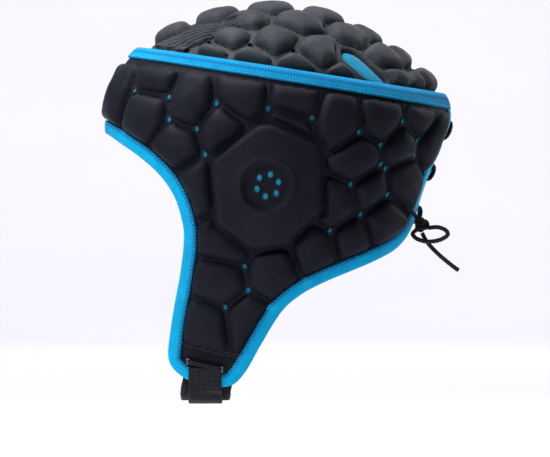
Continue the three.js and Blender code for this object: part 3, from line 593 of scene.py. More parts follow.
def crownRelief(p):
    edge = signedDistance(p, crownPadEdge)
    crease = signedDistance(p, crownCrease)
    lens = np.where(p[:, 1] < 0, -signedDistance(p, lensVents[0]), -signedDistance(p, lensVents[1]))
    nearest, inward, ordered = padField(p, crownSeeds, [edge, lens - pads["channel"]], lensVents[0],
                                        crownSet["corner"])[:3]
    inward = inward - (crownSet["channel"] - pads["channel"]) / 2
    inward = withoutSlivers(nearest, inward, len(crownSeeds), sideArea)
    base = flangeOuter + (crownOuter - flangeOuter) * smoothStep(0, crownSet["padMargin"], crease)
    base = np.where(crease > 0, base, flangeOuter)
    room = layers["padTop"] - crownOuter + crownSet["rise"]
    raised = room * padShape(inward, pads["reach"], crownSet["round"])
    raised += channelBars(inward, ordered, smoothStep(0, 3, edge) * smoothStep(2, 5, lens))
    lip = crownSet["lip"] * np.exp(-((lens - 1.5) / crownSet["lipWidth"]) ** 2)
    soft = smoothStep(-1.5, 6, inward)
    return base + raised * (1 - gather["flatten"] * gatherShare(p)) + lip + wrinkles(p, 2.0, 0.16) * soft


crownVents = junctions(crownSeeds)
crownVents = crownVents[insideLoop(crownVents, crownPadEdge)]
cornersOf = [[v for v in crownVents
              if abs(np.linalg.norm(v - seed) - np.linalg.norm(crownSeeds - v, axis=1).min()) < 0.1]
             for seed in crownSeeds]
crownVents = spacedOut([min(corners, key=lambda v: v[0]) for corners in cornersOf if corners], vents["apart"])
clearOfLens = np.min([distanceToLoop(crownVents, loop) for loop in lensVents], axis=0) > 4.5
crownVents = crownVents[clearOfLens & (signedDistance(crownVents, crownPadEdge) > 7.0)]
crownLoops = [ventLoop(v) for v in crownVents] + lensVents
crownPoints, crownTriangles = clothTriangles(crownOutline, crownLoops, clothSpacing)
crownLow = standOff(crownChart, crownPoints, np.full(len(crownPoints), crownInner))
crownHigh = standOff(crownChart, crownPoints, crownRelief(crownPoints))
print("crown panel", len(crownTriangles))


# Finishes
def clothMaterial(name, roughness, sheen=0.0, sheenRoughness=0.5):
    material = bpy.data.materials.new(name)
    material.use_nodes = True
    shader = material.node_tree.nodes["Principled BSDF"]
    shader.inputs["Roughness"].default_value = roughness
    shader.inputs["Sheen Weight"].default_value = sheen
    shader.inputs["Sheen Roughness"].default_value = sheenRoughness
    shader.inputs["Specular IOR Level"].default_value = 0.08
    return material, material.node_tree, shader


def node(tree, kind, settings=None, **inputs):
    made = tree.nodes.new(kind)
    for key, value in (settings or {}).items():
        setattr(made, key, value)
    for key, value in inputs.items():
        socket = made.inputs[key.replace("_", " ")]
        if isinstance(value, bpy.types.NodeSocket):
            tree.links.new(value, socket)
        else:
            socket.default_value = value
    return made


def mathNode(tree, operation, first, second):
    made = tree.nodes.new("ShaderNodeMath")
    made.operation = operation
    for socket, value in zip(made.inputs, (first, second)):
        if isinstance(value, bpy.types.NodeSocket):
            tree.links.new(value, socket)
        else:
            socket.default_value = value
    return made.outputs[0]


def colourBetween(tree, fac, low, high, start=0.35, end=0.7):
    ramp = node(tree, "ShaderNodeValToRGB")
    tree.links.new(fac, ramp.inputs["Fac"])
    ramp.color_ramp.elements[0].position = start
    ramp.color_ramp.elements[0].color = (*low, 1)
    ramp.color_ramp.elements[1].position = end
    ramp.color_ramp.elements[1].color = (*high, 1)
    return ramp.outputs["Color"]


def stretchKnit(name, low, high, look):  # fine ribbed knit over foam: object coordinates in metres
    material, tree, shader = clothMaterial(name, look["roughness"], look["sheen"], 0.35)
    place = node(tree, "ShaderNodeTexCoord").outputs["Object"]
    patches = node(tree, "ShaderNodeTexNoise", Vector=place, Scale=38.0, Detail=5.0, Roughness=0.6)
    fuzz = node(tree, "ShaderNodeTexNoise", Vector=place, Scale=900.0, Detail=3.0, Roughness=0.7)
    ribs = node(tree, "ShaderNodeTexWave", {"bands_direction": "DIAGONAL"}, Vector=place, Scale=look["ribs"],
                Distortion=1.2, Detail=2.0)
    rows = node(tree, "ShaderNodeTexWave", {"bands_direction": "Z"}, Vector=place, Scale=look["ribs"] * 0.8,
                Distortion=0.8, Detail=1.0)
    mixed = mathNode(tree, "ADD", mathNode(tree, "MULTIPLY", patches.outputs["Fac"], 0.6),
                     mathNode(tree, "MULTIPLY", fuzz.outputs["Fac"], 0.4))
    tree.links.new(colourBetween(tree, mixed, low, high), shader.inputs["Base Color"])
    weave = mathNode(tree, "ADD", ribs.outputs["Fac"], rows.outputs["Fac"])
    height = mathNode(tree, "ADD", weave, mathNode(tree, "MULTIPLY", fuzz.outputs["Fac"], 1.4))
    bump = node(tree, "ShaderNodeBump", Height=height, Strength=look["bump"], Distance=0.00025)
    tree.links.new(bump.outputs["Normal"], shader.inputs["Normal"])
    return material


padCloth = stretchKnit("pad_cloth", (0.003, 0.0034, 0.0062), (0.0064, 0.0074, 0.013),
                       {"roughness": 0.62, "sheen": 0.03, "ribs": 420.0, "bump": 0.3})
# painted light: the crown and its pleats are the same near-black knit as the pads, painted a lighter grey as
# if lit from above
crownCloth = stretchKnit("crown_cloth_painted_lit", (0.016, 0.018, 0.022), (0.04, 0.0435, 0.052),
                         {"roughness": 0.6, "sheen": 0.06, "ribs": 380.0, "bump": 0.3})
ventCloth = stretchKnit("vent_rim_cloth", (0.008, 0.009, 0.014), (0.016, 0.018, 0.026),
                        {"roughness": 0.6, "sheen": 0.1, "ribs": 500.0, "bump": 0.3})


def ribbedTape(name, low, high, look):  # ribs across the tape by its own map: u runs along it, v across
    material, tree, shader = clothMaterial(name, look["roughness"], look["sheen"], 0.4)
    place = node(tree, "ShaderNodeUVMap", {"uv_map": "along"}).outputs["UV"]
    ribs = node(tree, "ShaderNodeTexWave", {"bands_direction": "X"}, Vector=place, Scale=look["ribs"],
                Distortion=0.6, Detail=2.0)
    lines = node(tree, "ShaderNodeTexWave", {"bands_direction": "Y"}, Vector=place, Scale=look["lines"],
                 Distortion=0.3, Detail=1.0)
    solid = node(tree, "ShaderNodeTexCoord").outputs["Object"]
    patches = node(tree, "ShaderNodeTexNoise", Vector=solid, Scale=60.0, Detail=4.0, Roughness=0.65)
    shade = mathNode(tree, "ADD", mathNode(tree, "MULTIPLY", ribs.outputs["Fac"], 0.35),
                     mathNode(tree, "MULTIPLY", patches.outputs["Fac"], 0.65))
    colour = colourBetween(tree, shade, low, high, 0.2, 0.75)
    if "strip" in look:  # painted shade: the sewn part of the tape is painted darker, as if it lay in a shallow hollow
        across = node(tree, "ShaderNodeSeparateXYZ", Vector=place).outputs["Y"]
        hollowShade = tree.nodes.new("ShaderNodeValToRGB")
        tree.links.new(across, hollowShade.inputs["Fac"])
        ends = hollowShade.color_ramp.elements
        ends[0].position, ends[0].color = look["strip"][0], (0, 0, 0, 1)
        ends[1].position, ends[1].color = look["strip"][1], (1, 1, 1, 1)
        for position, value in ((look["strip"][2], 1), (look["strip"][3], 0)):
            added = ends.new(position)
            added.color = (value, value, value, 1)
        mixed = node(tree, "ShaderNodeMix", {"data_type": "RGBA"})
        tree.links.new(hollowShade.outputs["Color"], mixed.inputs["Factor"])
        tree.links.new(colour, mixed.inputs["A"])
        mixed.inputs["B"].default_value = (*look["stripShadeColour"], 1)
        colour = mixed.outputs["Result"]
    tree.links.new(colour, shader.inputs["Base Color"])
    lengthwise = mathNode(tree, "MULTIPLY", lines.outputs["Fac"], look["across"])
    height = mathNode(tree, "ADD", ribs.outputs["Fac"], lengthwise)
    bump = node(tree, "ShaderNodeBump", Height=height, Strength=look["bump"], Distance=0.0003)
    tree.links.new(bump.outputs["Normal"], shader.inputs["Normal"])
    return material


tapeLook = {"roughness": 0.6, "sheen": 0.0, "ribs": 3.2, "lines": 2.0, "across": 0.4, "bump": 0.9}
bindingCloth = ribbedTape("binding_tape", (0.0, 0.15, 0.32), (0.0, 0.26, 0.5),
                          {**tapeLook, "strip": (0.18, 0.3, 0.46, 0.58), "stripShadeColour": (0.0, 0.12, 0.3)})
# painted light: the hem is the same blue tape as the band, given a lighter copy of its colour to stand in for
# light
hemClothPaintedLighter = ribbedTape("hem_binding_painted_lighter", (0.0, 0.22, 0.42), (0.0, 0.36, 0.64),
                      {**tapeLook, "strip": (0.55, 0.64, 0.8, 0.88), "stripShadeColour": (0.0, 0.14, 0.32)})
webbingCloth = ribbedTape("strap_webbing", (0.005, 0.005, 0.007), (0.012, 0.012, 0.015),
                          {"roughness": 0.75, "sheen": 0.06, "ribs": 1.2, "lines": 0.9, "across": 1.0,
                           "bump": 0.8})
chinCloth = stretchKnit("chin_pad_cloth", (0.004, 0.004, 0.006), (0.03, 0.03, 0.036),
                        {"roughness": 0.85, "sheen": 0.08, "ribs": 260.0, "bump": 0.9})
liningKnit = stretchKnit("lining_knit", (0.0, 0.13, 0.23), (0.0, 0.21, 0.35),
                         {"roughness": 0.7, "sheen": 0.2, "ribs": 300.0, "bump": 0.5})
laceBraid = stretchKnit("lace_braid", (0.006, 0.006, 0.008), (0.02, 0.02, 0.024),
                        {"roughness": 0.6, "sheen": 0.05, "ribs": 350.0, "bump": 0.6})


def threadMaterial(name, colour):
    material, tree, shader = clothMaterial(name, 0.5, 0.3)
    place = node(tree, "ShaderNodeTexCoord").outputs["Object"]
    twist = node(tree, "ShaderNodeTexNoise", Vector=place, Scale=1500.0, Detail=2.0)
    low = tuple(0.7 * value for value in colour)
    tree.links.new(colourBetween(tree, twist.outputs["Fac"], low, colour), shader.inputs["Base Color"])
    bump = node(tree, "ShaderNodeBump", Height=twist.outputs["Fac"], Strength=0.4, Distance=0.0002)
    tree.links.new(bump.outputs["Normal"], shader.inputs["Normal"])
    return material


bandThread = threadMaterial("band_thread", (0.08, 0.45, 0.75))
darkThread = threadMaterial("dark_thread", (0.012, 0.012, 0.016))
paleThread = threadMaterial("pale_thread", (0.16, 0.17, 0.2))


def finishPiece(piece, slot, *replaced):
    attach(piece, "root")
    if replaced:
        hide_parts(*replaced)


# Panels
for side in ("left", "right"):
    points, faces = closedCloth(sideLow, sideHigh, sideTriangles)
    if side == "right":
        points, faces = mirrored(points, faces)
    panel = meshPiece("padding_" + side, points, faces, padCloth)
    finishPiece(panel, "padding", "side_panel_" + side)
points, faces = closedCloth(crownLow, crownHigh, crownTriangles)
crownPiece = meshPiece("padding_crown", points, faces, crownCloth)
finishPiece(crownPiece, "crown_padding", "crown_panel")

# Linings, stretched inside the panels
liningSpacing = 2.6


def liningPiece(name, chart, outline, low, high, flip, stands):
    points, triangles = clothTriangles(evenly(outline, liningSpacing, closed=True), [], liningSpacing)
    inner, outer = standOff(chart, points, low(points)), standOff(chart, points, high(points))
    area, size = areaOf(inner, triangles), np.ptp(points, axis=0)
    points, faces = closedCloth(inner, outer, triangles)
    if flip:
        points, faces = mirrored(points, faces)
    piece = meshPiece(name, points, faces, liningKnit)
    finishPiece(piece, "lining", stands)
    return area


def sideLiningTop(p):
    return sideInner(p) - layers["gap"]


for side in ("left", "right"):
    liningArea = liningPiece("knit_lining_" + side, wallChart, sideOutline, lowestLayer, sideLiningTop,
                             side == "right", "lining_" + side)
crownLiningArea = liningPiece("knit_lining_crown", crownChart, crownOutline, lambda p: np.zeros(len(p)),
                              lambda p: np.full(len(p), layers["lining"]), False, "crown_lining")
print("linings", round(liningArea), round(crownLiningArea))


# Swept pieces: a ring of points at each station, with a map that runs along the piece
def sweepPiece(name, sections, material, closed=False):
    stations, ring = sections.shape[:2]
    spans = stations if closed else stations - 1
    faces, maps = [], []
    along = lengthAlong(sections.mean(axis=1), closed)
    around = lengthAlong(sections[0], True)
    for i in range(spans):
        j = (i + 1) % stations
        for k in range(ring):
            m = (k + 1) % ring
            faces.append((i * ring + k, j * ring + k, j * ring + m, i * ring + m))
            u, v = (along[i], along[i + 1]), (around[k], around[k + 1])
            maps += [(u[0], v[0]), (u[1], v[0]), (u[1], v[1]), (u[0], v[1])]
    if not closed:
        for start, order in ((0, -1), (ring * (stations - 1), 1)):
            faces.append(tuple(start + k for k in range(ring))[::-order])
            maps += [(along[0], around[k]) for k in range(ring)]
    piece = meshPiece(name, sections.reshape(-1, 3), faces, material)
    layer = piece.data.uv_layers.new(name="along")
    layer.data.foreach_set("uv", (np.array(maps) * 0.1).ravel())
    return piece


def tapeSections(edge, inward, tooth):
    high, low = sideOuter(edge) + layers["gap"], lowestLayer(edge) - layers["gap"]
    top, bottom = high + layers["tape"], low - layers["tape"]
    reach = tape["width"] - foldDepth
    middle, half = (top + bottom) / 2, (top - bottom) / 2
    corners = [(s * (reach - 0.25 + tooth), top + tape["crown"] * 4 * s * (1 - s) + tooth * 0.2)
               for s in np.linspace(0, 1, 6)]
    corners += [(reach + tooth, top - 0.4), (reach + tooth, high), (-layers["gap"], high)]
    corners += [(-layers["gap"], low), (reach, low), (reach, bottom + 0.3), (reach - 0.3, bottom)]
    for angle in np.linspace(0, math.pi, tape["nose"] + 2)[:-1]:
        corners.append((-foldDepth * math.sin(angle) ** 0.8, middle - half * math.cos(angle)))
    sections = [standOff(wallChart, walk(wallChart, edge, inward, distance + 0 * top), offset)
                for distance, offset in corners]
    return np.stack(sections, axis=1)


def teeth(count):
    t = (np.arange(count) * tape["spacing"] / tape["toothPitch"]) % 1
    return tape["toothDepth"] * (np.abs(2 * t - 1) * 2 - 1)


tangent = np.gradient(hemFine, axis=0)
tangent /= np.linalg.norm(tangent, axis=1, keepdims=True)
hemInward = np.stack([-tangent[:, 1], tangent[:, 0]], axis=-1)
fromStart = lengthAlong(hemFine)
for target, share in (((0.0, 1.0), 1 - smoothStep(0, 8, fromStart)),
                      ((-1.0, 0.0), smoothStep(fromStart[-1] - 12, fromStart[-1], fromStart))):
    hemInward = hemInward * (1 - share[:, None]) + np.array(target) * share[:, None]
hemInward /= np.linalg.norm(hemInward, axis=1, keepdims=True)
hemTape = tapeSections(hemFine, hemInward, teeth(len(hemFine)))
hemTape = np.vstack([(hemTape * (1, -1, 1))[::-1], hemTape[1:]])
finishPiece(sweepPiece("hem_tape", hemTape, hemClothPaintedLighter), "binding", "edge_binding")

bandStations = evenly(np.array([[arcSteps[-1]], [0.0]]), tape["spacing"])[:, 0]
bandEdge = belowTop(bandStations, 0 * bandStations)
downward = np.tile((0.0, -1.0), (len(bandEdge), 1))
bandTape = tapeSections(bandEdge, downward, teeth(len(bandEdge)))
bandTape = np.vstack([bandTape, (bandTape * (1, -1, 1))[::-1][1:-1]])
finishPiece(sweepPiece("band_tape", bandTape, bindingCloth, closed=True), "binding", "top_binding")
print("tapes", len(hemTape), len(bandTape))


# Chin strap and the pad inside it, both symmetrical
# "turns" are places on the way under the chin: how far to the side, and how far above the lowest level
strap = {
    "width": 21.0, "thickness": 1.6, "offset": 7.2, "bottom": -242.0, "spacing": 1.2, "ends": 0.6,
    "turns": ((-47.5, 6.5), (-42.5, 2.4), (-34, 0.2), (-17, 0), (0, 0)),
}
chin = {
    "width": 31.0, "thickness": 3.0, "offset": -4.3, "spacing": 1.6, "ends": 1.2,
    "turns": ((-38.5, 4.5), (-34, 1.5), (-27, 0), (0, 0)),
}
seat = fromShares([(65, 0.868)])[0]
strapLevel = standOff(wallChart, seat, np.array(strap["offset"]))


def besideFlap(heights, offset):
    p = np.array([(seat[0], seat[1] - height) for height in heights])
    across = wallChart(p + (1, 0)) - wallChart(p - (1, 0))
    across /= np.linalg.norm(across, axis=1, keepdims=True)
    return standOff(wallChart, p, np.full(len(p), offset)), across


def underChin(beside, across, under, spacing):  # centres and width directions from one flap to the other
    centres = np.vstack([beside, [(strapLevel[0], y, z) for y, z in under]])
    widths = np.vstack([across, [(1, 0, 0)] * len(under)])
    rows = np.hstack([centres, widths])
    rows = np.vstack([rows, (rows * (1, -1, 1, 1, -1, 1))[::-1][1:]])
    fine = splineThrough(rows, 12)
    at = lengthAlong(fine[:, :3])
    steps = np.linspace(0, at[-1], round(at[-1] / spacing) + 1)
    rows = np.stack([np.interp(steps, at, fine[:, k]) for k in range(6)], axis=-1)
    return rows[:, :3], rows[:, 3:]


def flatSections(centres, across, width, thickness, rounding):
    along = np.gradient(centres, axis=0)
    out = np.cross(along, across)
    out /= np.linalg.norm(out, axis=1, keepdims=True)
    across = np.cross(out, along)
    across /= np.linalg.norm(across, axis=1, keepdims=True)
    half, thick = width / 2, thickness / 2
    ring = [(s * (half - rounding), thick) for s in np.linspace(-1, 1, 9)]
    ring += [(half - rounding * 0.3, thick * 0.7), (half, 0), (half - rounding * 0.3, -thick * 0.7)]
    ring += [(-w, -t) for w, t in ring[:9]]
    ring += [(-half + rounding * 0.3, -thick * 0.7), (-half, 0), (-half + rounding * 0.3, thick * 0.7)]
    return np.stack([centres + across * w + out * t for w, t in ring], axis=1)


strapMiddle = strap["bottom"] + strap["thickness"] / 2
beside, across = besideFlap((0, 6, 12), strap["offset"] + strap["thickness"] / 2)
under = [(y, strapMiddle + rise) for y, rise in strap["turns"]]
strapSections = flatSections(*underChin(beside, across, under, strap["spacing"]), strap["width"],
                             strap["thickness"], strap["ends"])
finishPiece(sweepPiece("strap_webbing", strapSections, webbingCloth), "webbing", "chin_strap")
chinMiddle = strap["bottom"] + strap["thickness"] + layers["gap"] + chin["thickness"] / 2
beside, across = besideFlap((0, 7), chin["offset"])
under = [(y, chinMiddle + rise) for y, rise in chin["turns"]]
chinSections = flatSections(*underChin(beside, across, under, chin["spacing"]), chin["width"],
                            chin["thickness"], chin["ends"])
chinPiece = sweepPiece("chin_cushion", chinSections, chinCloth)
finishPiece(chinPiece, "chin_pad", "chin_pad")


# Geometry Nodes
def nodeTree(name, inputs):
    tree = bpy.data.node_groups.new(name, "GeometryNodeTree")
    tree.interface.new_socket("Geometry", in_out="INPUT", socket_type="NodeSocketGeometry")
    tree.interface.new_socket("Geometry", in_out="OUTPUT", socket_type="NodeSocketGeometry")
    for label, (kind, value) in inputs.items():
        socket = tree.interface.new_socket(label, in_out="INPUT", socket_type="NodeSocket" + kind)
        if value is not None:
            socket.default_value = value
    return tree, tree.nodes.new("NodeGroupInput"), tree.nodes.new("NodeGroupOutput")


def closeTree(tree, start, end, geometry):
    realized = node(tree, "GeometryNodeRealizeInstances", Geometry=geometry)
    finish = node(tree, "GeometryNodeSetMaterial", Geometry=realized.outputs[0],
                          Material=start.outputs["Material"])
    tree.links.new(finish.outputs[0], end.inputs["Geometry"])
    return tree


def onCloth(tree, start, end, instance):  # one at every point, turned to the normal kept there
    facing = node(tree, "GeometryNodeInputNamedAttribute", {"data_type": "FLOAT_VECTOR"}, Name="facing")
    turned = node(tree, "FunctionNodeAlignRotationToVector", {"axis": "Z"}, Vector=facing.outputs[0])
    placed = node(tree, "GeometryNodeInstanceOnPoints", Points=start.outputs["Geometry"],
                  Instance=instance.outputs[0], Rotation=turned.outputs[0])
    return closeTree(tree, start, end, placed.outputs[0])


def stitchTree():  # small rounded stitches in a row along a line
    tree, start, end = nodeTree("stitches_along_line", {
        "Spacing": ("Float", 0.0018), "Length": ("Float", 0.0012), "Thickness": ("Float", 0.0004),
        "Material": ("Material", None)})
    line = node(tree, "GeometryNodeMeshToCurve", Mesh=start.outputs["Geometry"])
    spaced = node(tree, "GeometryNodeResampleCurve", {"mode": "LENGTH"}, Curve=line.outputs[0],
                          Length=start.outputs["Spacing"])
    stitch = node(tree, "GeometryNodeMeshUVSphere", Segments=6, Rings=5, Radius=0.5)
    size = node(tree, "ShaderNodeCombineXYZ", X=start.outputs["Length"], Y=start.outputs["Thickness"],
                        Z=start.outputs["Thickness"])
    facing = node(tree, "FunctionNodeAlignRotationToVector", {"axis": "X"},
                          Vector=node(tree, "GeometryNodeInputTangent").outputs[0])
    placed = node(tree, "GeometryNodeInstanceOnPoints", Points=spaced.outputs[0],
                          Instance=stitch.outputs[0], Rotation=facing.outputs[0], Scale=size.outputs[0])
    return closeTree(tree, start, end, placed.outputs[0])


def rimTree():  # a soft raised rim round every vent, laid on the cloth by its normal
    tree, start, end = nodeTree("rims_of_vents", {
        "Radius": ("Float", 0.0017), "Thickness": ("Float", 0.00045), "Material": ("Material", None)})
    circle = node(tree, "GeometryNodeCurvePrimitiveCircle", Resolution=16, Radius=start.outputs["Radius"])
    section = node(tree, "GeometryNodeCurvePrimitiveCircle", Resolution=6, Radius=start.outputs["Thickness"])
    ring = node(tree, "GeometryNodeCurveToMesh", Curve=circle.outputs[0], Profile_Curve=section.outputs[0])
    stretched = node(tree, "GeometryNodeTransform", Geometry=ring.outputs[0],
                             Scale=(1.0, vents["stretch"], 0.8))
    return onCloth(tree, start, end, stretched)


def discTree():  # a small low dome of lining in every vent
    tree, start, end = nodeTree("lining_in_vents", {
        "Radius": ("Float", 0.0016), "Material": ("Material", None)})
    ball = node(tree, "GeometryNodeMeshUVSphere", Segments=12, Rings=6, Radius=start.outputs["Radius"])
    dome = node(tree, "GeometryNodeTransform", Geometry=ball.outputs[0], Scale=(1.0, vents["stretch"], 0.25))
    return onCloth(tree, start, end, dome)


def laceTree():  # a lobed section twisted along a line, as a round laid cord is
    tree, start, end = nodeTree("twisted_cord", {
        "Radius": ("Float", 0.0014), "Groove": ("Float", 0.00012), "Step": ("Float", 0.0006),
        "Twist": ("Float", 0.28), "Material": ("Material", None)})
    line = node(tree, "GeometryNodeMeshToCurve", Mesh=start.outputs["Geometry"])
    spaced = node(tree, "GeometryNodeResampleCurve", {"mode": "LENGTH"}, Curve=line.outputs[0],
                          Length=start.outputs["Step"])
    place = node(tree, "GeometryNodeInputIndex")
    twist = mathNode(tree, "MULTIPLY", place.outputs[0], start.outputs["Twist"])
    tilted = node(tree, "GeometryNodeSetCurveTilt", Curve=spaced.outputs[0], Tilt=twist)
    inner = mathNode(tree, "SUBTRACT", start.outputs["Radius"], start.outputs["Groove"])
    section = node(tree, "GeometryNodeCurveStar", Points=6, Inner_Radius=inner,
                           Outer_Radius=start.outputs["Radius"])
    cord = node(tree, "GeometryNodeCurveToMesh", Curve=tilted.outputs[0], Profile_Curve=section.outputs[0],
                        Fill_Caps=True)
    return closeTree(tree, start, end, cord.outputs[0])


stitches, rims, discs, twistedCord = stitchTree(), rimTree(), discTree(), laceTree()


# A tree run on points or lines, kept as a plain mesh
def grown(name, tree, points, edges, settings, attributes=None):
    seed = bpy.data.meshes.new(name + "_seed")
    seed.from_pydata((np.asarray(points) * metre).tolist(), edges, [])
    for label, values in (attributes or {}).items():
        seed.attributes.new(label, "FLOAT_VECTOR", "POINT").data.foreach_set("vector", np.ravel(values))
    holder = bpy.data.objects.new(name, seed)
    bpy.context.scene.collection.objects.link(holder)
    modifier = holder.modifiers.new("grow", "NODES")
    modifier.node_group = tree
    sockets = {item.name: item.identifier for item in tree.interface.items_tree if item.in_out == "INPUT"}
    for label, value in settings.items():
        modifier[sockets[label]] = value
    evaluated = holder.evaluated_get(bpy.context.evaluated_depsgraph_get())
    mesh = bpy.data.meshes.new_from_object(evaluated)
    holder.modifiers.remove(modifier)
    holder.data = mesh
    bpy.data.meshes.remove(seed)
    mesh.polygons.foreach_set("use_smooth", np.ones(len(mesh.polygons), bool))
    return holder


def lineEdges(lines, closed=False):  # several lines as one set of points and edges
    points, edges = np.vstack(lines), []
    start = 0
    for line in lines:
        count = len(line)
        edges += [(start + i, start + (i + 1) % count) for i in range(count if closed else count - 1)]
        start += count
    return points, edges


def stitchPiece(name, lines, settings, material, slot, closed=False):
    points, edges = lineEdges(lines, closed)
    finishPiece(grown(name, stitches, points, edges, {**settings, "Material": material}), slot)


# Stitch rows along the tapes
def tapeLine(edge, inward, distance, rise):
    p = walk(wallChart, edge, inward, np.full(len(edge), distance))
    return standOff(wallChart, p, sideOuter(edge) + layers["gap"] + layers["tape"] + rise)


def bothSides(line):
    return [line, (line * (1, -1, 1))[::-1]]


bandRows = {"Spacing": 0.0021, "Length": 0.0013, "Thickness": 0.00042}
for number, distance in enumerate((6.3, 3.7), 1):
    row = tapeLine(bandEdge[::3], downward[::3], distance, 0.12)
    ring = np.vstack([row, (row * (1, -1, 1))[::-1][1:-1]])
    stitchPiece(f"band_stitches_{number}", [ring], bandRows, bandThread, "binding", closed=True)
hemRows = {"Spacing": 0.0024, "Length": 0.0014, "Thickness": 0.0004}
for number, distance in enumerate((6.2, 3.7), 1):
    row = tapeLine(hemFine[3:-6:3], hemInward[3:-6:3], distance, 0.12)
    stitchPiece(f"hem_stitches_{number}", bothSides(row), hemRows, bandThread, "binding")

# Double seam above the tab of each flap
seamRows = {"Spacing": 0.0024, "Length": 0.002, "Thickness": 0.0007}
seamArcs = np.linspace(0.02, 0.98, 40)[:, None]
for number, shift in enumerate((0.5, 2.4), 1):
    line = tabSeam[0] * (1 - seamArcs) + tabSeam[1] * seamArcs - (0, shift)
    row = standOff(wallChart, line, sideRelief(line) + 0.05)
    stitchPiece(f"tab_seam_{number}", bothSides(row), seamRows, darkThread, "padding")

# Lip of the slot over the strap's sewn end, with a bar tack at each of its ends
lip = {"half": 12.0, "strapEnd": 9.0, "slope": -0.2, "width": 1.5, "height": 1.1, "rise": 1.6, "corners": 12}


def lipSections(flip):
    angles = np.linspace(0, 2 * math.pi, lip["corners"] + 1)[:-1]
    across = np.linspace(-lip["half"], lip["half"], 30)
    sections = []
    for angle in angles:
        height = lip["rise"] + lip["slope"] * across + math.cos(angle) * lip["width"]
        p = seat + np.stack([across, height], axis=-1)
        overStrap = smoothStep(-lip["half"], -lip["strapEnd"], -np.abs(across))
        top = strap["offset"] + strap["thickness"] * overStrap
        sections.append(standOff(wallChart, p, top + math.sin(angle) * lip["height"]))
    sections = np.stack(sections, axis=1)
    return (sections * (1, -1, 1))[::-1] if flip else sections


for side in ("left", "right"):
    finishPiece(sweepPiece("slot_lip_" + side, lipSections(side == "right"), webbingCloth), "webbing")
tack = {"fromEnd": 1.4, "shifts": (-0.6, 0.0, 0.6), "half": 1.3, "steps": 8, "rise": 1.5}
tackRows = []
for end in (-1, 1):
    for shift in tack["shifts"]:
        x = end * (lip["half"] - tack["fromEnd"]) + shift
        y = lip["rise"] + lip["slope"] * end * lip["half"]
        p = np.array([seat + (x, y + h) for h in np.linspace(-tack["half"], tack["half"], tack["steps"])])
        tackRows += bothSides(standOff(wallChart, p, np.full(len(p), strap["offset"] + tack["rise"])))
stitchPiece("strap_tacks", tackRows, {"Spacing": 0.0009, "Length": 0.001, "Thickness": 0.0006}, paleThread,
            "webbing")

# Rims round the vents, and the lining that shows in them
rimRise = {"ear": 0.1, "cloth": 0.15}
liningDepth = 0.8  # how far below the rims of the side vents their lining lies
earAt = standOff(wallChart, earEyelets, sideRelief(earEyelets) + rimRise["ear"])
earFacing = faceNormal(wallChart, earEyelets)
sideAt = standOff(wallChart, sideVents, sideOuter(sideVents) + rimRise["cloth"])
sideFacing = faceNormal(wallChart, sideVents)
crownAt = standOff(crownChart, crownVents, np.full(len(crownVents), crownOuter + rimRise["cloth"]))
flip = (1, -1, 1)
rimPoints = np.vstack([sideAt, sideAt * flip, earAt, earAt * flip, crownAt])
rimFacing = np.vstack([sideFacing, sideFacing * flip, earFacing, earFacing * flip,
                       faceNormal(crownChart, crownVents)])
rimPiece = grown("vent_rims", rims, rimPoints, [],
                 {"Radius": 0.0018, "Thickness": 0.00045, "Material": ventCloth}, {"facing": rimFacing})
finishPiece(rimPiece, "padding")
onSides = len(rimPoints) - len(crownAt)
ventDepth = np.where(np.arange(onSides) < 2 * len(sideAt), liningDepth, 0.0)
discPiece = grown("vent_lining", discs, rimPoints[:onSides] - rimFacing[:onSides] * ventDepth[:, None], [],
                  {"Radius": 0.00165, "Material": liningKnit}, {"facing": rimFacing[:onSides]})
finishPiece(discPiece, "lining")

# Pleats at the front of the crown, a fine mesh that dips under the cloth at its edges
rows, columns = gather["rows"], gather["columns"]
alongRow, acrossRow = np.meshgrid(np.linspace(-0.12, 1, rows), np.linspace(-1, 1, columns), indexing="ij")
alongRow, acrossRow = alongRow.ravel(), acrossRow.ravel()
pleatPoints = (gatherStart + alongRow[:, None] * gatherRun
               + (acrossRow * gatherHalf(alongRow))[:, None] * gatherSide)
pleatFaces = []
for i in range(rows - 1):
    for j in range(columns - 1):
        a, b = i * columns + j, (i + 1) * columns + j
        pleatFaces += [(a, b, b + 1), (a, b + 1, a + 1)]
pleatFaces = np.array(pleatFaces)
folds = np.abs(np.sin(acrossRow * gather["pleats"] * math.pi / 2 + 0.7 * np.sin(alongRow * 4))) ** 0.7
pleatBase = crownRelief(pleatPoints)
pleatRise = gatherShare(pleatPoints) * (gather["clear"] + gather["rise"] * folds)
pleatTop = standOff(crownChart, pleatPoints, pleatBase - gather["dip"] + pleatRise)
pleatUnder = standOff(crownChart, pleatPoints, pleatBase - gather["under"])
points, faces = closedCloth(pleatUnder, pleatTop, pleatFaces)
for side in ("left", "right"):
    if side == "right":
        points, faces = mirrored(points, faces)
    piece = meshPiece("front_pleats_" + side, points, faces, crownCloth)
    finishPiece(piece, "crown_padding")

# Lining that bulges up in the lens-shaped vents
bulge = {"below": 2.4, "rise": 1.2, "reach": 3.5, "thickness": 0.6, "spacing": 1.2}
for name, loop in zip(("left", "right"), lensVents):
    flat, triangles = clothTriangles(loop, [], bulge["spacing"])
    swell = bulge["rise"] * smoothStep(0, bulge["reach"], distanceToLoop(flat, loop))
    swell += crownOuter - bulge["below"]
    points, faces = closedCloth(standOff(crownChart, flat, swell - bulge["thickness"]),
                                standOff(crownChart, flat, swell), triangles)
    piece = meshPiece("lens_lining_" + name, points, faces, liningKnit)
    finishPiece(piece, "lining")
print("vents", len(rimPoints))


# Lace
laceSet = {
    "diameter": 2.8, "loopLength": 10.0, "bulge": 3.6, "seat": 0.8, "slack": 1.8, "outward": 4.0,
    "spacing": 0.6,
}
loopDowns = (0.03, 0.175, 0.33)
laceShape = {"Radius": 0.00142, "Groove": 0.00022, "Step": 0.0006, "Twist": 0.3, "Material": laceBraid}


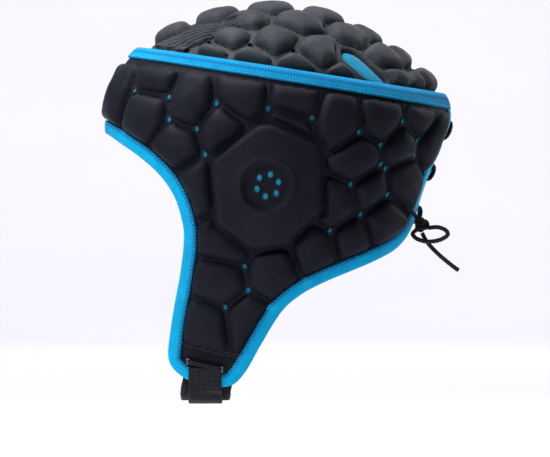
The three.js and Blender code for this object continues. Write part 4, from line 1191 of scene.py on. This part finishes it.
def cordPiece(name, route, stands):
    line = evenly(splineThrough(route, 16), laceSet["spacing"])
    piece = grown(name, twistedCord, line, [(i, i + 1) for i in range(len(line) - 1)], laceShape)
    finishPiece(piece, "lace", stands)
    return piece, line


def backEdgeAt(height):
    back = hemFine[hemFine[:, 0] > arcOfTurn(150)]
    return np.array([np.interp(height, back[:, 1], back[:, 0]), height])


def laceMiddle(p):
    return float((lowestLayer(p) + sideOuter(p)) / 2)


for number, down in enumerate(loopDowns, 1):
    route = []
    for out, along in ((0, 0.5), (0.75, 0.4), (1, 0), (0.75, -0.4), (0, -0.5)):
        edge = backEdgeAt(equator - down * head["wallDepth"] + along * laceSet["loopLength"])
        p = edge + (foldDepth + layers["gap"] + laceSet["seat"] + out * laceSet["bulge"], 0)
        route.append(standOff(wallChart, p, np.array(laceMiddle(edge) + out * laceSet["outward"])))
    route = np.array(route)
    cordPiece(f"back_loop_left_{number}", route, f"lace_loop_left_{number}")
    cordPiece(f"back_loop_right_{number}", route * (1, -1, 1), f"lace_loop_right_{number}")


def laceAt(down, flip):
    edge = backEdgeAt(equator - down * head["wallDepth"])
    p = edge + (foldDepth + laceSet["diameter"], 0)
    point = standOff(wallChart, p, np.array(laceMiddle(edge) - laceSet["diameter"] - laceSet["slack"]))
    return point * (1, -1, 1) if flip else point


high, middle, low = loopDowns
laceStops = [laceAt(low, False), laceAt(middle, True), laceAt(high, False), laceAt(high, True),
             laceAt(middle, False), laceAt(low, True)]
laceBows = (1, 1, 2.5, laceSet["diameter"] + 1.8, laceSet["diameter"] + 1.8)
laceRoute = [laceStops[0]]
for stop, following, bow in zip(laceStops, laceStops[1:], laceBows):
    laceRoute += [(stop + following) / 2 + (bow, 0, 0), following]
cordPiece("back_lace", laceRoute, "lace")

knotPlace = np.array([91.0, -34.0, -130.0])
laceVent = fromShares([(149.5, 0.295)])[0]
ventExit = standOff(wallChart, laceVent, np.array(float(sideOuter(laceVent)) + 1.8))
overEdge = laceVent + (10, -6)
overTape = standOff(wallChart, overEdge, np.array(float(sideOuter(overEdge)) + 3.6))
towards = (overTape - knotPlace) / np.linalg.norm(overTape - knotPlace)
cordPiece("lace_to_knot", [ventExit, overTape, knotPlace + towards * 5.4], "lace_tail")

# The knot, a trefoil pulled tight
knot = {"steps": 90, "size": 1.25, "reach": 2.0, "depth": 1.5}
turns = np.linspace(0, 2 * math.pi, knot["steps"])
reach = knot["reach"] + np.cos(3 * turns)
trefoil = np.stack([reach * np.cos(2 * turns), knot["depth"] * np.sin(3 * turns), reach * np.sin(2 * turns)],
                   axis=-1) * knot["size"]
knotPiece = grown("tied_knot", twistedCord, knotPlace + trefoil,
                  [(i, i + 1) for i in range(knot["steps"] - 1)], laceShape)
finishPiece(knotPiece, "lace", "lace_knot")

bowRoute = [
    (95, -37, -132), (101, -40, -131.5), (106, -41.5, -133.5), (107, -42, -136.5), (102, -42.5, -139.5),
    (95, -43, -140.5), (88.5, -42.5, -139), (85.3, -41, -135.8), (88.2, -37.6, -132.9),
]
endRoute = [
    (91.4, -35.3, -135.3), (94.5, -37.2, -141), (101, -39, -148), (108, -40, -154), (114, -40.5, -158.5),
]
bowPiece, bowLine = cordPiece("lace_bow_loop", bowRoute, "lace_bow")
endPiece, endLine = cordPiece("lace_free_end", endRoute, "lace_end")
print("lace bow", round(lengthAlong(bowLine)[-1], 1), "free end", round(lengthAlong(endLine)[-1], 1))

# Stage: pale floor that sweeps up behind, soft lights and the camera
stageSet = {"floor": -0.292, "back": 4.0, "front": -2.4, "half": 2.4, "bend": 1.2, "top": 3.4}


def stageMaterial():
    material = bpy.data.materials.new("pale_floor")
    material.use_nodes = True
    tree = material.node_tree
    shader = tree.nodes["Principled BSDF"]
    shader.inputs["Roughness"].default_value = 0.9
    place = node(tree, "ShaderNodeTexCoord").outputs["Object"]
    mottle = node(tree, "ShaderNodeTexNoise", Vector=place, Scale=2.0, Detail=2.0)
    tree.links.new(colourBetween(tree, mottle.outputs["Fac"], (0.82, 0.81, 0.86), (0.85, 0.84, 0.885)),
                   shader.inputs["Base Color"])
    return material


profile = [(stageSet["front"], stageSet["floor"])]
for angle in np.linspace(0, math.pi / 2, 17):
    profile.append((stageSet["back"] + stageSet["bend"] * math.sin(angle),
                    stageSet["floor"] + stageSet["bend"] * (1 - math.cos(angle))))
profile.append((stageSet["back"] + stageSet["bend"], stageSet["top"]))
sweepPoints = [(x, y, z) for y, z in profile for x in (-stageSet["half"], stageSet["half"])]
sweepFaces = [(2 * i, 2 * i + 1, 2 * i + 3, 2 * i + 2) for i in range(len(profile) - 1)]
floor = meshPiece("floor", np.array(sweepPoints) / metre, sweepFaces, stageMaterial())


def softLight(name, place, target, size, power):
    lamp = bpy.data.lights.new(name, "AREA")
    lamp.shape = "RECTANGLE"
    lamp.size, lamp.size_y = size
    lamp.energy = power
    holder = bpy.data.objects.new(name, lamp)
    holder.location = place
    holder.rotation_euler = (Vector(target) - Vector(place)).to_track_quat("-Z", "Y").to_euler()
    bpy.context.scene.collection.objects.link(holder)


softLight("top_light", (-0.3, 0.0, 1.2), (0, 0, -0.05), (0.5, 0.4), 34)
softLight("key_light", (-0.9, -0.75, 1.0), (0, 0, -0.12), (0.28, 0.28), 27)
softLight("back_light", (1.2, 0.7, 0.6), (0, 0, -0.1), (0.7, 0.7), 12)
softLight("backdrop_light", (0, 2.4, 2.4), (0, 5.0, 0.1), (4.0, 1.0), 110)
softLight("floor_light", (0, 1.2, 1.6), (0, 1.6, -0.3), (3.0, 1.5), 2)
bpy.context.scene.view_settings.view_transform = "Standard"
world = bpy.data.worlds.new("studio")
world.use_nodes = True
glow = {"onTheCap": 0.12, "seen": 0.97}  # a dim room for the cap, with a white wall for the camera
background = world.node_tree.nodes["Background"]
background.inputs["Color"].default_value = (0.95, 0.95, 1.0, 1)
seen = node(world.node_tree, "ShaderNodeLightPath").outputs["Is Camera Ray"]
strength = node(world.node_tree, "ShaderNodeMapRange", Value=seen, To_Min=glow["onTheCap"],
                To_Max=glow["seen"])
world.node_tree.links.new(strength.outputs["Result"], background.inputs["Strength"])
bpy.context.scene.world = world

view = {"distance": 5.0, "elevation": 0.5, "middle": (-0.0006, 0.0, -0.1327), "widthSeen": 0.346}
camera = bpy.data.cameras.new("camera")
camera.sensor_width = 36.0
camera.lens = camera.sensor_width * view["distance"] / view["widthSeen"]
camera.clip_end = 20.0
cameraHolder = bpy.data.objects.new("camera", camera)
rise = math.radians(view["elevation"])
cameraHolder.location = (view["middle"][0], -view["distance"] * math.cos(rise),
                         view["middle"][2] + view["distance"] * math.sin(rise))
cameraHolder.rotation_euler = (math.pi / 2 - rise, 0, 0)
bpy.context.scene.collection.objects.link(cameraHolder)
bpy.context.scene.camera = cameraHolder

print("pieces done")
